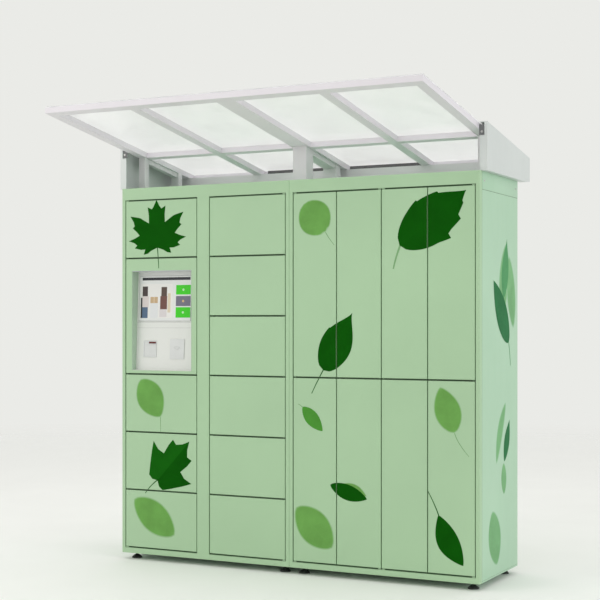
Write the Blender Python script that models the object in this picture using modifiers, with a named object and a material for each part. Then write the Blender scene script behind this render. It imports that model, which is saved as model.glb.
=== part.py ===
"""Outdoor parcel locker: two steel cabinets side by side under a tilted canopy.

X runs to the right across the doors, Y from the door plane to the back, Z up.
The origin is on the floor, midway along the front, in the plane of the doors.
"""

import math

import bmesh
import bpy
from mathutils import Matrix, Vector

# Cabinets
CABINET_WIDTH = 1.035
CABINET_DEPTH = 0.585
CABINET_HEIGHT = 2.000
FOOT_HEIGHT = 0.035
SHEET = 0.0015
FIT_GAP = 0.0003
BAY_HEIGHT = 0.3165
PLINTH = 0.033
STILE = 0.0225
MULLION = 0.078
WIDE_COLUMN = (CABINET_WIDTH - 2 * STILE - MULLION) / 2
NARROW_COLUMN = (CABINET_WIDTH - 2 * STILE) / 4
FRAME_DEPTH = 0.035
EDGE_RADIUS = 0.0025

# Doors and their pivots
SIDE_GAP = 0.005
LEVEL_GAP = 0.008
LEAF_DEPTH = 0.016
PIVOT_INSET = 0.008
PIN_RADIUS = 0.003
PIN_CLEARANCE = 0.0003
PIN_SIDES = 12
PIN_END_GAP = 0.0004
DRAIN_HALF = 0.010
DRAIN_FRONT = 0.006
DRAIN_BACK = 0.010
DRAIN_SHARES = (0.3, 0.7)
LEDGE_HALF = 0.002
LEDGE_FRONT = 0.010
LUG_FRONT = 0.002
LUG_WIDTH = 0.015
STOP_WIDTH = 0.012
STOP_FRONT = 0.0215
STOP_BACK = 0.0245

# Locks: a post with a housing for each door, and a striker on each door
STRIKER_THICK = 0.003
STRIKER_TIP = 0.048
STRIKER_HEIGHT = 0.024
HOUSING_HALF_HEIGHT = 0.040
HOUSING_WIDTH = 0.030
HOUSING_SET_BACK = 0.006
HOUSING_OVERHANG = 0.012
STRIKER_SLOT_NEAR = 0.007
STRIKER_SLOT_FAR = 0.004
STRIKER_SLOT_HALF = 0.015
STRIKER_SLOT_END = 0.008
HOOK_EYE_HALF = 0.006
HOOK_EYE_NEAR = 0.013
HOOK_EYE_FAR = 0.004
WIDE_POST = {"half": 0.038, "front": 0.0355, "back": 0.068, "striker": 0.054}
SLIM_POST = {"half": 0.020, "front": 0.0240, "back": 0.052, "striker": 0.034}

# Control panel, measured from the cabinet's bottom left corner. Its fascia leans back.
RECESS_LEFT = 0.064
RECESS_WIDTH = 0.3815
RECESS_LOW = 1.003
RECESS_HIGH = 1.546
RECESS_DEPTH_LOW = 0.036
RECESS_DEPTH_HIGH = 0.062
FASCIA_LEAN = math.atan((RECESS_DEPTH_HIGH - RECESS_DEPTH_LOW) / (RECESS_HIGH - RECESS_LOW))
FASCIA_FLANGE = 0.010
PAN_LIP = 0.012
TRAY_REACH = 0.020
SCREEN_LEFT = 0.078
SCREEN_WIDTH = 0.333
SCREEN_LOW = 1.272
SCREEN_HIGH = 1.520
SCREEN_PROUD = 0.0015
SCREEN_BODY_DEPTH = 0.032
SCANNER_LEFT = 0.1126
SCANNER_WIDTH = 0.0854
SCANNER_LOW = 1.0758
SCANNER_HIGH = 1.1648
SCANNER_PROUD = 0.003
SCANNER_BODY_DEPTH = 0.018
SCANNER_RIM = 0.006
SCANNER_DISH_DEPTH = 0.002
READER_LEFT = 0.2852
READER_WIDTH = 0.0900
READER_LOW = 1.0657
READER_HIGH = 1.1753
READER_PROUD = 0.004
CONTROLLER_LEFT = 0.130
CONTROLLER_WIDTH = 0.270
CONTROLLER_LOW = 1.120
CONTROLLER_HIGH = 1.420
CONTROLLER_FRONT = 0.470

# Feet
FOOT_INSET_X = 0.055
FOOT_INSET_Y = 0.065
FOOT_RADIUS = 0.028
FOOT_STEM_RADIUS = 0.006
FOOT_STEM_TOP = 0.062
FOOT_SIDES = 16
FOOT_SHOULDER = (0.023, 0.011)
FOOT_NECK = (0.012, 0.019)
FOOT_STEM_BASE = 0.021
FOOT_RIM_HEIGHT = 0.006
NUT_DEPTH = 0.0082
NUT_RADIUS = 0.0105

# Shelves and back panels
DIVIDER_SLOT_Y = 0.320
DIVIDER_CLEAR = 0.002
LOUVRE_ROWS = 6
LOUVRE_LOW = 1.30
LOUVRE_PITCH = 0.030
LOUVRE_SLOT = 0.008
LOUVRE_HALF = 0.075
INLET_Z = 0.350
INLET_RADIUS = 0.011

# Canopy
ROOF_SLOPE = math.radians(9.0)
ROOF_TOP_AT_DOORS = 2.277
ROOF_THICKNESS = 0.034
ROOF_HALF_WIDTH = 1.022
ROOF_REAR_REACH = 0.700
HALF_DEPTH = 0.705
HALF_WIDTH = 1.064
ROOF_SHEET = 0.005
RAFTER_WIDTH = 0.050
FRONT_BEAM_WIDTH = 0.055
PURLIN_WIDTH = 0.042
PURLIN_Y = 0.175
REAR_RAIL_WIDTH = 0.045
TUBE_WALL = 0.003
SIDE_BOX_INNER = 1.026
SIDE_BOX_FRONT = 0.025
SIDE_BOX_KINK = 0.655
SIDE_BOX_RISE = 0.006
NOTCH_WIDTH = 0.024
NOTCH_LOW = 2.205
NOTCH_HIGH = 2.269
SIDE_POST_X = 0.997
# Each post: its half width, and its front and back in Y
SIDE_FRONT_POST = (0.020, 0.138, 0.178)
SIDE_REAR_POST = (0.025, 0.480, 0.520)
CENTRE_FRONT_POST = (0.039, 0.119, 0.199)
CENTRE_REAR_POST = (0.038, 0.480, 0.540)
POST_HOLLOW = 0.060
PLATE_LIP = 0.012
PLATE_THICKNESS = 0.004
TRESTLE_RAIL_DEPTH = 0.024
RAIL_SET_IN = 0.004
RAIL_OVERLAP = 0.010
CHANNEL_FRONT = 0.560
CHANNEL_WEB = 0.600
CHANNEL_BACK = 0.690
CHANNEL_SLOT_TOP = 2.122
CHANNEL_RISE = 0.012
CHANNEL_FOLD = 0.022
CHANNEL_LIP = 0.008
CHANNEL_SLOT_RISE = 0.024
ROOF_SEAM_HALF = 0.0015
POST_OVERRUN = 0.020

BASE_Z = FOOT_HEIGHT
TOP_Z = BASE_Z + CABINET_HEIGHT
FLOOR_Z = BASE_Z + PLINTH
CEILING_Z = FLOOR_Z + 6 * BAY_HEIGHT
BACK_FLANGE = 0.010
INNER_BACK = CABINET_DEPTH - BACK_FLANGE - 0.0005

# A cutter runs this far past what it cuts, and a welded block this far into its neighbour
PAST = 0.010
BITE = 0.001
PLAY = 0.0005
FAR = 0.200

FINISHES = {
    # name: colour, roughness, metallic
    "green_paint": ((0.39, 0.57, 0.36), 0.42, 0.0),
    "zinc": ((0.55, 0.56, 0.57), 0.45, 0.9),
    "lock_grey": ((0.12, 0.12, 0.13), 0.50, 0.2),
    "fascia_white": ((0.80, 0.80, 0.79), 0.40, 0.0),
    "screen_glass": ((0.02, 0.02, 0.025), 0.12, 0.0),
    "reader_grey": ((0.62, 0.63, 0.64), 0.45, 0.0),
    "canopy_metal": ((0.63, 0.64, 0.65), 0.38, 0.6),
    "roof_sheet": ((0.80, 0.81, 0.80), 0.30, 0.0),
    "foot_black": ((0.02, 0.02, 0.02), 0.60, 0.0),
}

LEFT_CABINET = -CABINET_WIDTH
RIGHT_CABINET = 0.0


class Column:
    """One column of doors: its low and high X, the side of its pivots and the post of its locks."""

    def __init__(self, letter, low, high, pivot_side, post_x, post):
        self.letter = letter
        self.low = low
        self.high = high
        self.pivot_side = pivot_side
        self.post_x = post_x
        self.post = post
        self.leaf_low = low + SIDE_GAP / 2
        self.leaf_high = high - SIDE_GAP / 2

    @property
    def pivot_x(self):
        if self.pivot_side < 0:
            return self.leaf_low + PIVOT_INSET
        return self.leaf_high - PIVOT_INSET

    @property
    def striker_x(self):
        return self.post_x + math.copysign(self.post["striker"], self.pivot_x - self.post_x)


def make_columns():
    """The six columns, from left to right. A pivot side of -1 is the left edge, +1 the right."""
    first = LEFT_CABINET + STILE
    second = first + WIDE_COLUMN + MULLION
    mullion_x = first + WIDE_COLUMN + MULLION / 2
    columns = [
        Column("a", first, first + WIDE_COLUMN, -1, mullion_x, WIDE_POST),
        Column("b", second, second + WIDE_COLUMN, 1, mullion_x, WIDE_POST),
    ]
    for place, letter in enumerate("cdef"):
        low = RIGHT_CABINET + STILE + place * NARROW_COLUMN
        high = low + NARROW_COLUMN
        pivot_side = -1 if place % 2 == 0 else 1
        post_x = high if place % 2 == 0 else low
        columns.append(Column(letter, low, high, pivot_side, post_x, SLIM_POST))
    return columns


def level(bays):
    """The height of the gap that is this many bays above the floor."""
    return FLOOR_Z + bays * BAY_HEIGHT


# Scene and mesh helpers


def clear_scene():
    for old in list(bpy.data.objects):
        bpy.data.objects.remove(old, do_unlink=True)


def new_collection(name):
    collection = bpy.data.collections.new(name)
    bpy.context.scene.collection.children.link(collection)
    return collection


def finish_material(name):
    material = bpy.data.materials.get(name)
    if material:
        return material
    colour, roughness, metallic = FINISHES[name]
    material = bpy.data.materials.new(name)
    material.use_nodes = True
    shader = material.node_tree.nodes["Principled BSDF"]
    shader.inputs["Base Color"].default_value = (*colour, 1.0)
    shader.inputs["Roughness"].default_value = roughness
    shader.inputs["Metallic"].default_value = metallic
    return material


def block(low, high, front_radius=0.0):
    """A box between two corners, with its four front edges rounded if a radius is given."""

    def build(bm):
        size = Vector(high) - Vector(low)
        centre = (Vector(high) + Vector(low)) / 2
        place = Matrix.Translation(centre) @ Matrix.Diagonal((*size, 1.0))
        made = bmesh.ops.create_cube(bm, size=1.0, matrix=place)["verts"]
        if not front_radius:
            return
        front = {vert for vert in made if vert.co.y < centre.y}
        edges = [edge for edge in bm.edges if set(edge.verts) <= front]
        bmesh.ops.bevel(
            bm, geom=edges, offset=front_radius, segments=2, affect="EDGES", profile=0.5
        )

    return build


def rod(x, y, low, high, radius, sides=PIN_SIDES):
    """An upright round bar, or a hexagon with six sides."""

    def build(bm):
        place = Matrix.Translation((x, y, (low + high) / 2))
        bmesh.ops.create_cone(
            bm,
            cap_ends=True,
            segments=sides,
            radius1=radius,
            radius2=radius,
            depth=high - low,
            matrix=place,
        )

    return build


def bar(x, z, low, high, radius, sides=PIN_SIDES * 2):
    """A round bar along Y."""

    def build(bm):
        turn = Matrix.Rotation(math.radians(90), 4, "X")
        place = Matrix.Translation((x, (low + high) / 2, z)) @ turn
        bmesh.ops.create_cone(
            bm,
            cap_ends=True,
            segments=sides,
            radius1=radius,
            radius2=radius,
            depth=high - low,
            matrix=place,
        )

    return build


def mesh_object(name, builders, collection, parent=None):
    bm = bmesh.new()
    for build in builders:
        build(bm)
    bmesh.ops.recalc_face_normals(bm, faces=bm.faces)
    mesh = bpy.data.meshes.new(name)
    bm.to_mesh(mesh)
    bm.free()
    obj = bpy.data.objects.new(name, mesh)
    obj.parent = parent
    collection.objects.link(obj)
    return obj


def settle(obj):
    """Replaces the object's mesh by its evaluated one, and drops its modifiers."""
    bpy.context.view_layer.update()
    graph = bpy.context.evaluated_depsgraph_get()
    mesh = bpy.data.meshes.new_from_object(obj.evaluated_get(graph))
    mesh.name = obj.name
    obj.modifiers.clear()
    obj.data = mesh


def combine(obj, operation, builders, tool_parent=None):
    """Joins the built shapes to the object, or cuts them from it."""
    tool = mesh_object(obj.name + "_tool", builders, CUTTERS, tool_parent or obj.parent)
    modifier = obj.modifiers.new(operation, "BOOLEAN")
    modifier.operation = operation
    modifier.object = tool
    modifier.use_self = True
    settle(obj)
    bpy.data.objects.remove(tool, do_unlink=True)


def part(name, finish, base, joined=(), cut=(), parent=None):
    """One sub-part: a base shape, the shapes joined to it, and then the shapes cut from it."""
    obj = mesh_object(name, [base], PARTS, parent)
    if joined:
        combine(obj, "UNION", joined)
    if cut:
        combine(obj, "DIFFERENCE", cut)
    obj.data.materials.clear()
    obj.data.materials.append(finish_material(finish))
    return obj


def prism_object(name, outline, low_x, high_x, collection):
    """A flat outline of (Y, Z) points, filled and given its width along X."""
    curve = bpy.data.curves.new(name, "CURVE")
    curve.dimensions = "2D"
    curve.fill_mode = "BOTH"
    curve.extrude = (high_x - low_x) / 2
    spline = curve.splines.new("POLY")
    spline.points.add(len(outline) - 1)
    for point, (y, z) in zip(spline.points, outline):
        point.co = (y, z, 0.0, 1.0)
    spline.use_cyclic_u = True
    flat = bpy.data.objects.new(name, curve)
    collection.objects.link(flat)
    bpy.context.view_layer.update()
    graph = bpy.context.evaluated_depsgraph_get()
    mesh = bpy.data.meshes.new_from_object(flat.evaluated_get(graph))
    bpy.data.objects.remove(flat, do_unlink=True)
    bm = bmesh.new()
    bm.from_mesh(mesh)
    bmesh.ops.remove_doubles(bm, verts=bm.verts, dist=1e-6)
    # The curve's X, Y and Z become the part's Y, Z and X.
    turn = Matrix(((0, 0, 1, (low_x + high_x) / 2), (1, 0, 0, 0), (0, 1, 0, 0), (0, 0, 0, 1)))
    bmesh.ops.transform(bm, matrix=turn, verts=bm.verts)
    bmesh.ops.recalc_face_normals(bm, faces=bm.faces)
    bm.to_mesh(mesh)
    bm.free()
    obj = bpy.data.objects.new(name, mesh)
    collection.objects.link(obj)
    return obj


def inset(outline, distance):
    """The outline moved inwards by a wall's thickness. The outline runs anticlockwise in (Y, Z)."""
    count = len(outline)
    lines = []
    for place in range(count):
        start = Vector(outline[place])
        along = (Vector(outline[(place + 1) % count]) - start).normalized()
        inward = Vector((-along.y, along.x))
        lines.append((start + inward * distance, along))
    corners = []
    for place in range(count):
        (a, u), (b, v) = lines[place - 1], lines[place]
        reach = (b - a).cross(v) / u.cross(v)
        corners.append(tuple(a + u * reach))
    return corners


# Cabinets


def make_casing(name, low_x):
    """Sides, top, ceiling, floor and bottom, folded and welded from sheet, open at front and back."""
    high_x = low_x + CABINET_WIDTH
    front = FRAME_DEPTH + FIT_GAP
    inner_low, inner_high = low_x + SHEET, high_x - SHEET
    through = (front - PAST, CABINET_DEPTH + PAST)

    def tunnel(low_z, high_z):
        return block((inner_low, through[0], low_z), (inner_high, through[1], high_z))

    holes = [
        rod(x, y, BASE_Z - PAST, BASE_Z + PAST, FOOT_STEM_RADIUS + 0.0005, 16)
        for x, y in foot_places(low_x)
    ]
    tunnels = [
        tunnel(BASE_Z + SHEET, FLOOR_Z - SHEET),
        tunnel(FLOOR_Z, CEILING_Z),
        tunnel(CEILING_Z + SHEET, TOP_Z - SHEET),
        block(
            (inner_low, INNER_BACK, BASE_Z + SHEET),
            (inner_high, CABINET_DEPTH + PAST, TOP_Z - SHEET),
        ),
    ]
    shell = block((low_x, front, BASE_Z), (high_x, CABINET_DEPTH, TOP_Z))
    return part(name, "green_paint", shell, cut=tunnels + holes)


def make_back_panel(name, low_x, cable_inlet):
    """A shallow pan that closes the casing from behind, with louvre slots and an inlet for the mains."""
    edge = SHEET + FIT_GAP
    low = (low_x + edge, CABINET_DEPTH - BACK_FLANGE, BASE_Z + edge)
    high = (low_x + CABINET_WIDTH - edge, CABINET_DEPTH, TOP_Z - edge)
    hollow = block(
        (low[0] + SHEET, low[1] - PAST, low[2] + SHEET),
        (high[0] - SHEET, CABINET_DEPTH - SHEET, high[2] - SHEET),
    )
    cuts = [hollow]
    middle = low_x + CABINET_WIDTH / 2
    for row in range(LOUVRE_ROWS):
        z = LOUVRE_LOW + row * LOUVRE_PITCH
        for side in (-1, 1):
            x = middle + side * CABINET_WIDTH / 4
            cuts.append(
                block(
                    (x - LOUVRE_HALF, CABINET_DEPTH - PAST, z),
                    (x + LOUVRE_HALF, CABINET_DEPTH + PAST, z + LOUVRE_SLOT),
                )
            )
    if cable_inlet:
        span = (CABINET_DEPTH - PAST, CABINET_DEPTH + PAST)
        cuts.append(bar(middle, INLET_Z, *span, INLET_RADIUS))
    return part(name, "green_paint", block(low, high), cut=cuts)


def pivot_lug(column, at):
    """The tongue in the gap between two doors that takes their pivot pins."""
    low = column.leaf_low if column.pivot_side < 0 else column.leaf_high - LUG_WIDTH
    return block(
        (low, LUG_FRONT, at - LEDGE_HALF),
        (low + LUG_WIDTH, LEDGE_FRONT + 0.004, at + LEDGE_HALF),
    )


def pivot_hole(column, at):
    reach = 2 * LEDGE_HALF
    return rod(
        column.pivot_x, PIVOT_INSET, at - reach, at + reach, PIN_RADIUS + PIN_CLEARANCE
    )


def make_front_frame(name, low_x, openings, columns):
    """The welded face frame: folded stiles and rails around the door openings, hollow from behind."""
    high_x = low_x + CABINET_WIDTH
    half_gap = LEVEL_GAP / 2
    low_z, high_z = FLOOR_Z - half_gap, CEILING_Z + half_gap
    cuts, joined, holes = [], [], []
    for low, high in openings:
        cuts.append(block((low, -PAST, low_z), (high, FRAME_DEPTH + PAST, high_z)))
        for wall, side in ((low, 1), (high, -1)):
            ends = sorted((wall - side * BITE, wall + side * STOP_WIDTH))
            joined.append(
                block((ends[0], STOP_FRONT, low_z - BITE), (ends[1], STOP_BACK, high_z + BITE))
            )
    walls = [low_x] + [x for pair in openings for x in pair] + [high_x]
    pocket_back = FRAME_DEPTH + PAST
    for low, high in zip(walls[0::2], walls[1::2]):
        cuts.append(
            block(
                (low + SHEET, SHEET, low_z + SHEET), (high - SHEET, pocket_back, high_z - SHEET)
            )
        )
    for low, high in ((BASE_Z, low_z), (high_z, TOP_Z)):
        cuts.append(
            block(
                (low_x + SHEET, SHEET, low + SHEET), (high_x - SHEET, pocket_back, high - SHEET)
            )
        )
    for low, high in openings:
        for ledge_low, ledge_high in (
            (low_z - BITE, FLOOR_Z + LEDGE_HALF),
            (CEILING_Z - LEDGE_HALF, high_z + BITE),
        ):
            joined.append(
                block(
                    (low - BITE, LEDGE_FRONT, ledge_low), (high + BITE, FRAME_DEPTH, ledge_high)
                )
            )
    for column in columns:
        joined += [pivot_lug(column, FLOOR_Z), pivot_lug(column, CEILING_Z)]
        holes += [pivot_hole(column, FLOOR_Z), pivot_hole(column, CEILING_Z)]
    slab = block((low_x, 0.0, BASE_Z), (high_x, FRAME_DEPTH, TOP_Z), EDGE_RADIUS)
    obj = part(name, "green_paint", slab, cut=cuts)
    combine(obj, "UNION", joined)
    combine(obj, "DIFFERENCE", holes)
    return obj


def make_shelf(name, bays, span, openings, columns, slots, notches):
    """A shelf with a ledge across each opening for the pivots, slotted from the front over dividers."""
    z = level(bays)
    plate = block(
        (span[0], FRAME_DEPTH + BITE, z - SHEET / 2), (span[1], INNER_BACK, z + SHEET / 2)
    )
    joined, cuts, holes = [], [], []
    for low, high in openings:
        joined.append(
            block(
                (low + PLAY, LEDGE_FRONT, z - LEDGE_HALF),
                (high - PLAY, STOP_FRONT - PLAY, z + LEDGE_HALF),
            )
        )
        inner = STOP_WIDTH + PLAY
        joined.append(
            block(
                (low + inner, STOP_FRONT - 2 * PLAY, z - LEDGE_HALF),
                (high - inner, FRAME_DEPTH + 0.004, z + LEDGE_HALF),
            )
        )
    for column in columns:
        joined.append(pivot_lug(column, z))
        holes.append(pivot_hole(column, z))
    for x in slots:
        half = SHEET / 2 + FIT_GAP
        cuts.append(
            block((x - half, FRAME_DEPTH + BITE, z - PAST), (x + half, DIVIDER_SLOT_Y, z + PAST))
        )
    for x, post in notches:
        half = post["half"] + BITE
        cuts.append(
            block(
                (x - half, post["front"] - BITE, z - PAST),
                (x + half, post["back"] + BITE, z + PAST),
            )
        )
    return part(name, "zinc", plate, joined=joined, cut=cuts + holes)


def make_divider(name, x, front, levels):
    """An upright divider, slotted from the back over the shelves that cross it."""
    plate = block(
        (x - SHEET / 2, front, FLOOR_Z + FIT_GAP), (x + SHEET / 2, INNER_BACK, CEILING_Z - FIT_GAP)
    )
    cuts = [
        block(
            (x - PAST, DIVIDER_SLOT_Y - BITE, level(bays) - SHEET / 2 - FIT_GAP),
            (x + PAST, INNER_BACK + PAST, level(bays) + SHEET / 2 + FIT_GAP),
        )
        for bays in levels
    ]
    return part(name, "zinc", plate, cut=cuts)


def make_lock_post(name, x, post, locks):
    """A channel behind the door edges, with an electric lock housing at each striker."""
    low_z, high_z = FLOOR_Z + LEDGE_HALF + 0.0005, CEILING_Z - LEDGE_HALF - 0.0005
    half, front, back = post["half"], post["front"], post["back"]
    channel = block((x - half, front, low_z), (x + half, back, high_z))
    hollow = block(
        (x - half + SHEET, front + SHEET, low_z - PAST),
        (x + half - SHEET, back + PAST, high_z + PAST),
    )
    housings, slots = [], []
    for side, z in locks:
        near, far = half - BITE, half - SHEET + HOUSING_WIDTH
        ends = sorted((x + side * near, x + side * far))
        housings.append(
            block(
                (ends[0], front + HOUSING_SET_BACK, z - HOUSING_HALF_HEIGHT),
                (ends[1], back + HOUSING_OVERHANG, z + HOUSING_HALF_HEIGHT),
            )
        )
        near = post["striker"] - STRIKER_SLOT_NEAR
        slot = sorted((x + side * near, x + side * (post["striker"] + STRIKER_SLOT_FAR)))
        slots.append(
            block(
                (slot[0], front - PAST, z - STRIKER_SLOT_HALF),
                (slot[1], STRIKER_TIP + STRIKER_SLOT_END, z + STRIKER_SLOT_HALF),
            )
        )
    obj = part(name, "lock_grey", channel, cut=[hollow])
    combine(obj, "UNION", housings)
    combine(obj, "DIFFERENCE", slots)
    return obj


# Doors


def leaf_shapes(column, low_z, high_z):
    """The shapes of a door leaf around its pivot axis: slab, pins and striker, and the hollow and eye."""
    x0, x1 = column.leaf_low - column.pivot_x, column.leaf_high - column.pivot_x
    y0, y1 = -PIVOT_INSET, LEAF_DEPTH - PIVOT_INSET
    half = (high_z - low_z) / 2 - LEVEL_GAP / 2
    pin_reach = LEVEL_GAP / 2 - PIN_END_GAP
    slab = block((x0, y0, -half), (x1, y1, half), EDGE_RADIUS)
    pins = [
        rod(0.0, 0.0, half - SHEET / 2, half + pin_reach, PIN_RADIUS),
        rod(0.0, 0.0, -half - pin_reach, -half + SHEET / 2, PIN_RADIUS),
    ]
    hook_x = column.striker_x - column.pivot_x
    striker = block(
        (hook_x - STRIKER_THICK / 2, y1 - SHEET / 2, -STRIKER_HEIGHT / 2),
        (hook_x + STRIKER_THICK / 2, STRIKER_TIP - PIVOT_INSET, STRIKER_HEIGHT / 2),
    )
    eye = block(
        (hook_x - PAST, STRIKER_TIP - PIVOT_INSET - HOOK_EYE_NEAR, -HOOK_EYE_HALF),
        (hook_x + PAST, STRIKER_TIP - PIVOT_INSET - HOOK_EYE_FAR, HOOK_EYE_HALF),
    )
    return (x0, x1, y0, y1, half), slab, pins + [striker], eye


def make_door(name, column, low_z, high_z, shared):
    """A double-skinned leaf on its two pivot pins, drained through slots in its lower edge."""
    key = (column.letter in "ab", column.pivot_side, round(high_z - low_z, 4))
    if key not in shared:
        (x0, x1, y0, y1, half), slab, joined, eye = leaf_shapes(column, low_z, high_z)
        hollow = block(
            (x0 + SHEET, y0 + SHEET, -half + SHEET), (x1 - SHEET, y1 - SHEET, half - SHEET)
        )
        drains = [
            block(
                (x - DRAIN_HALF, y0 + DRAIN_FRONT, -half - PAST),
                (x + DRAIN_HALF, y0 + DRAIN_BACK, -half + PAST),
            )
            for x in (x0 + (x1 - x0) * share for share in DRAIN_SHARES)
        ]
        model = part(name, "green_paint", slab, cut=[hollow] + drains)
        combine(model, "UNION", joined)
        combine(model, "DIFFERENCE", [eye])
        shared[key] = model.data
        bpy.data.objects.remove(model, do_unlink=True)
    obj = bpy.data.objects.new(name, shared[key])
    obj.location = (column.pivot_x, PIVOT_INSET, (low_z + high_z) / 2)
    PARTS.objects.link(obj)
    return obj


def make_control_door(column, low_z, high_z):
    """The service door: a single-skinned pan with a window for the recessed fascia."""
    (x0, x1, y0, y1, half), slab, joined, eye = leaf_shapes(column, low_z, high_z)
    middle = (low_z + high_z) / 2
    cavity = block((x0 + SHEET, y0 + SHEET, -half + SHEET), (x1 - SHEET, y1 - SHEET, half - SHEET))
    mouth = block(
        (x0 + SHEET + PAN_LIP, y1 - 2 * SHEET, -half + SHEET + PAN_LIP),
        (x1 - SHEET - PAN_LIP, y1 + PAST, half - SHEET - PAN_LIP),
    )
    left = LEFT_CABINET + RECESS_LEFT - column.pivot_x
    window = block(
        (left, y0 - PAST, BASE_Z + RECESS_LOW - middle),
        (left + RECESS_WIDTH, y1 - SHEET, BASE_Z + RECESS_HIGH - middle),
    )
    obj = part("control_door", "green_paint", slab, cut=[cavity])
    combine(obj, "DIFFERENCE", [mouth])
    combine(obj, "DIFFERENCE", [window])
    combine(obj, "UNION", joined)
    combine(obj, "DIFFERENCE", [eye])
    obj.location = (column.pivot_x, PIVOT_INSET, middle)
    return obj


# Control panel


def panel_block(left, width, low_z, high_z, low_y, high_y, grow=0.0):
    """A block placed on the control panel, measured from the cabinet's bottom left corner."""
    x = LEFT_CABINET + left
    return block(
        (x - grow, low_y, BASE_Z + low_z - grow), (x + width + grow, high_y, BASE_Z + high_z + grow)
    )


def fascia_empty():
    """The fascia's own frame: Z runs up its face from the recess's bottom edge, and Y = 0 is its face."""
    empty = bpy.data.objects.new("fascia_plane", None)
    empty.location = (0.0, RECESS_DEPTH_LOW, BASE_Z + RECESS_LOW)
    empty.rotation_euler = (-FASCIA_LEAN, 0.0, 0.0)
    PARTS.objects.link(empty)
    return empty


def fascia_block(left, width, low_z, high_z, low_y, high_y, grow=0.0):
    """A block in the fascia's own frame, placed like a panel_block."""
    x = LEFT_CABINET + left
    return block(
        (x - grow, low_y, low_z - RECESS_LOW - grow),
        (x + width + grow, high_y, high_z - RECESS_LOW + grow),
    )


def make_fascia(plane):
    """The pale tray set back in the service door, with cut-outs for the screen and the scanner."""
    outer = (RECESS_LEFT + PLAY, RECESS_WIDTH - 2 * PLAY, RECESS_LOW + PLAY, RECESS_HIGH - PLAY)
    deep = RECESS_DEPTH_HIGH + TRAY_REACH
    walls = panel_block(*outer, PLAY, deep)
    flange = panel_block(*outer, SHEET + PLAY, 2 * SHEET + PLAY, grow=FASCIA_FLANGE)
    hollow = panel_block(*outer, -PAST, deep + PAST, grow=-SHEET)
    obj = part("control_fascia", "fascia_white", walls, joined=[flange], cut=[hollow])
    combine(obj, "UNION", [fascia_block(*outer, 0.0, SHEET + PLAY, grow=-SHEET / 2)], plane)
    combine(obj, "DIFFERENCE", [fascia_block(*outer, SHEET, FAR, grow=FAR)], plane)
    screen = (SCREEN_LEFT, SCREEN_WIDTH, SCREEN_LOW, SCREEN_HIGH)
    scanner = (SCANNER_LEFT, SCANNER_WIDTH, SCANNER_LOW, SCANNER_HIGH)
    cuts = [fascia_block(*unit, -PAST, 2 * PAST, PLAY) for unit in (screen, scanner)]
    combine(obj, "DIFFERENCE", cuts, plane)
    return obj


def make_control_units(plane):
    """The display with its body behind the fascia, the scanner window and the card reader pad."""
    screen = (SCREEN_LEFT, SCREEN_WIDTH, SCREEN_LOW, SCREEN_HIGH)
    glass = fascia_block(*screen, -SCREEN_PROUD, SCREEN_BODY_DEPTH)
    part("touchscreen", "screen_glass", glass, parent=plane)
    scanner = (SCANNER_LEFT, SCANNER_WIDTH, SCANNER_LOW, SCANNER_HIGH)
    bezel = fascia_block(*scanner, -SCANNER_PROUD, SCANNER_BODY_DEPTH)
    dish_depth = SCANNER_DISH_DEPTH - SCANNER_PROUD
    dish = fascia_block(*scanner, -PAST, dish_depth, grow=-SCANNER_RIM)
    part("scanner_window", "reader_grey", bezel, cut=[dish], parent=plane)
    reader = (READER_LEFT, READER_WIDTH, READER_LOW, READER_HIGH)
    part("card_reader", "reader_grey", fascia_block(*reader, -READER_PROUD, -FIT_GAP), parent=plane)


def make_controller_box():
    """The controller's steel housing on the back wall of the control bay, open towards the wall."""
    outer = (CONTROLLER_LEFT, CONTROLLER_WIDTH, CONTROLLER_LOW, CONTROLLER_HIGH)
    box = panel_block(*outer, CONTROLLER_FRONT, INNER_BACK)
    hollow = panel_block(*outer, CONTROLLER_FRONT + SHEET, INNER_BACK + PAST, grow=-SHEET)
    part("controller_box", "zinc", box, cut=[hollow])


# Feet


def foot_places(low_x):
    xs = (low_x + FOOT_INSET_X, low_x + CABINET_WIDTH - FOOT_INSET_X)
    ys = (FOOT_INSET_Y, CABINET_DEPTH - FOOT_INSET_Y)
    return [(x, y) for y in ys for x in xs]


def foot_mesh():
    """A turned pad with its threaded stem, and a hexagonal lock nut under the cabinet."""
    profile = [
        (0.0, FOOT_STEM_TOP),
        (FOOT_STEM_RADIUS, FOOT_STEM_TOP),
        (FOOT_STEM_RADIUS, FOOT_STEM_BASE),
        FOOT_NECK,
        FOOT_SHOULDER,
        (FOOT_RADIUS, FOOT_RIM_HEIGHT),
        (FOOT_RADIUS, 0.0),
        (0.0, 0.0),
    ]
    bm = bmesh.new()
    points = [bm.verts.new((radius, 0.0, z)) for radius, z in profile]
    for start, end in zip(points, points[1:]):
        bm.edges.new((start, end))
    mesh = bpy.data.meshes.new("levelling_foot")
    bm.to_mesh(mesh)
    bm.free()
    turned = bpy.data.objects.new("levelling_foot", mesh)
    PARTS.objects.link(turned)
    screw = turned.modifiers.new("turn", "SCREW")
    screw.steps = FOOT_SIDES
    screw.render_steps = FOOT_SIDES
    screw.use_merge_vertices = True
    screw.merge_threshold = 0.00001
    settle(turned)
    nut_high = FOOT_HEIGHT - FIT_GAP
    nut_low = nut_high - NUT_DEPTH
    combine(turned, "UNION", [rod(0.0, 0.0, nut_low, nut_high, NUT_RADIUS, 6)])
    result = turned.data
    result.materials.clear()
    result.materials.append(finish_material("foot_black"))
    bpy.data.objects.remove(turned, do_unlink=True)
    return result


def make_feet():
    mesh = foot_mesh()
    for cabinet, low_x in (("left", LEFT_CABINET), ("right", RIGHT_CABINET)):
        for number, (x, y) in enumerate(foot_places(low_x), 1):
            foot = bpy.data.objects.new(f"levelling_foot_{cabinet}_{number}", mesh)
            foot.location = (x, y, 0.0)
            PARTS.objects.link(foot)


# Canopy


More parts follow.
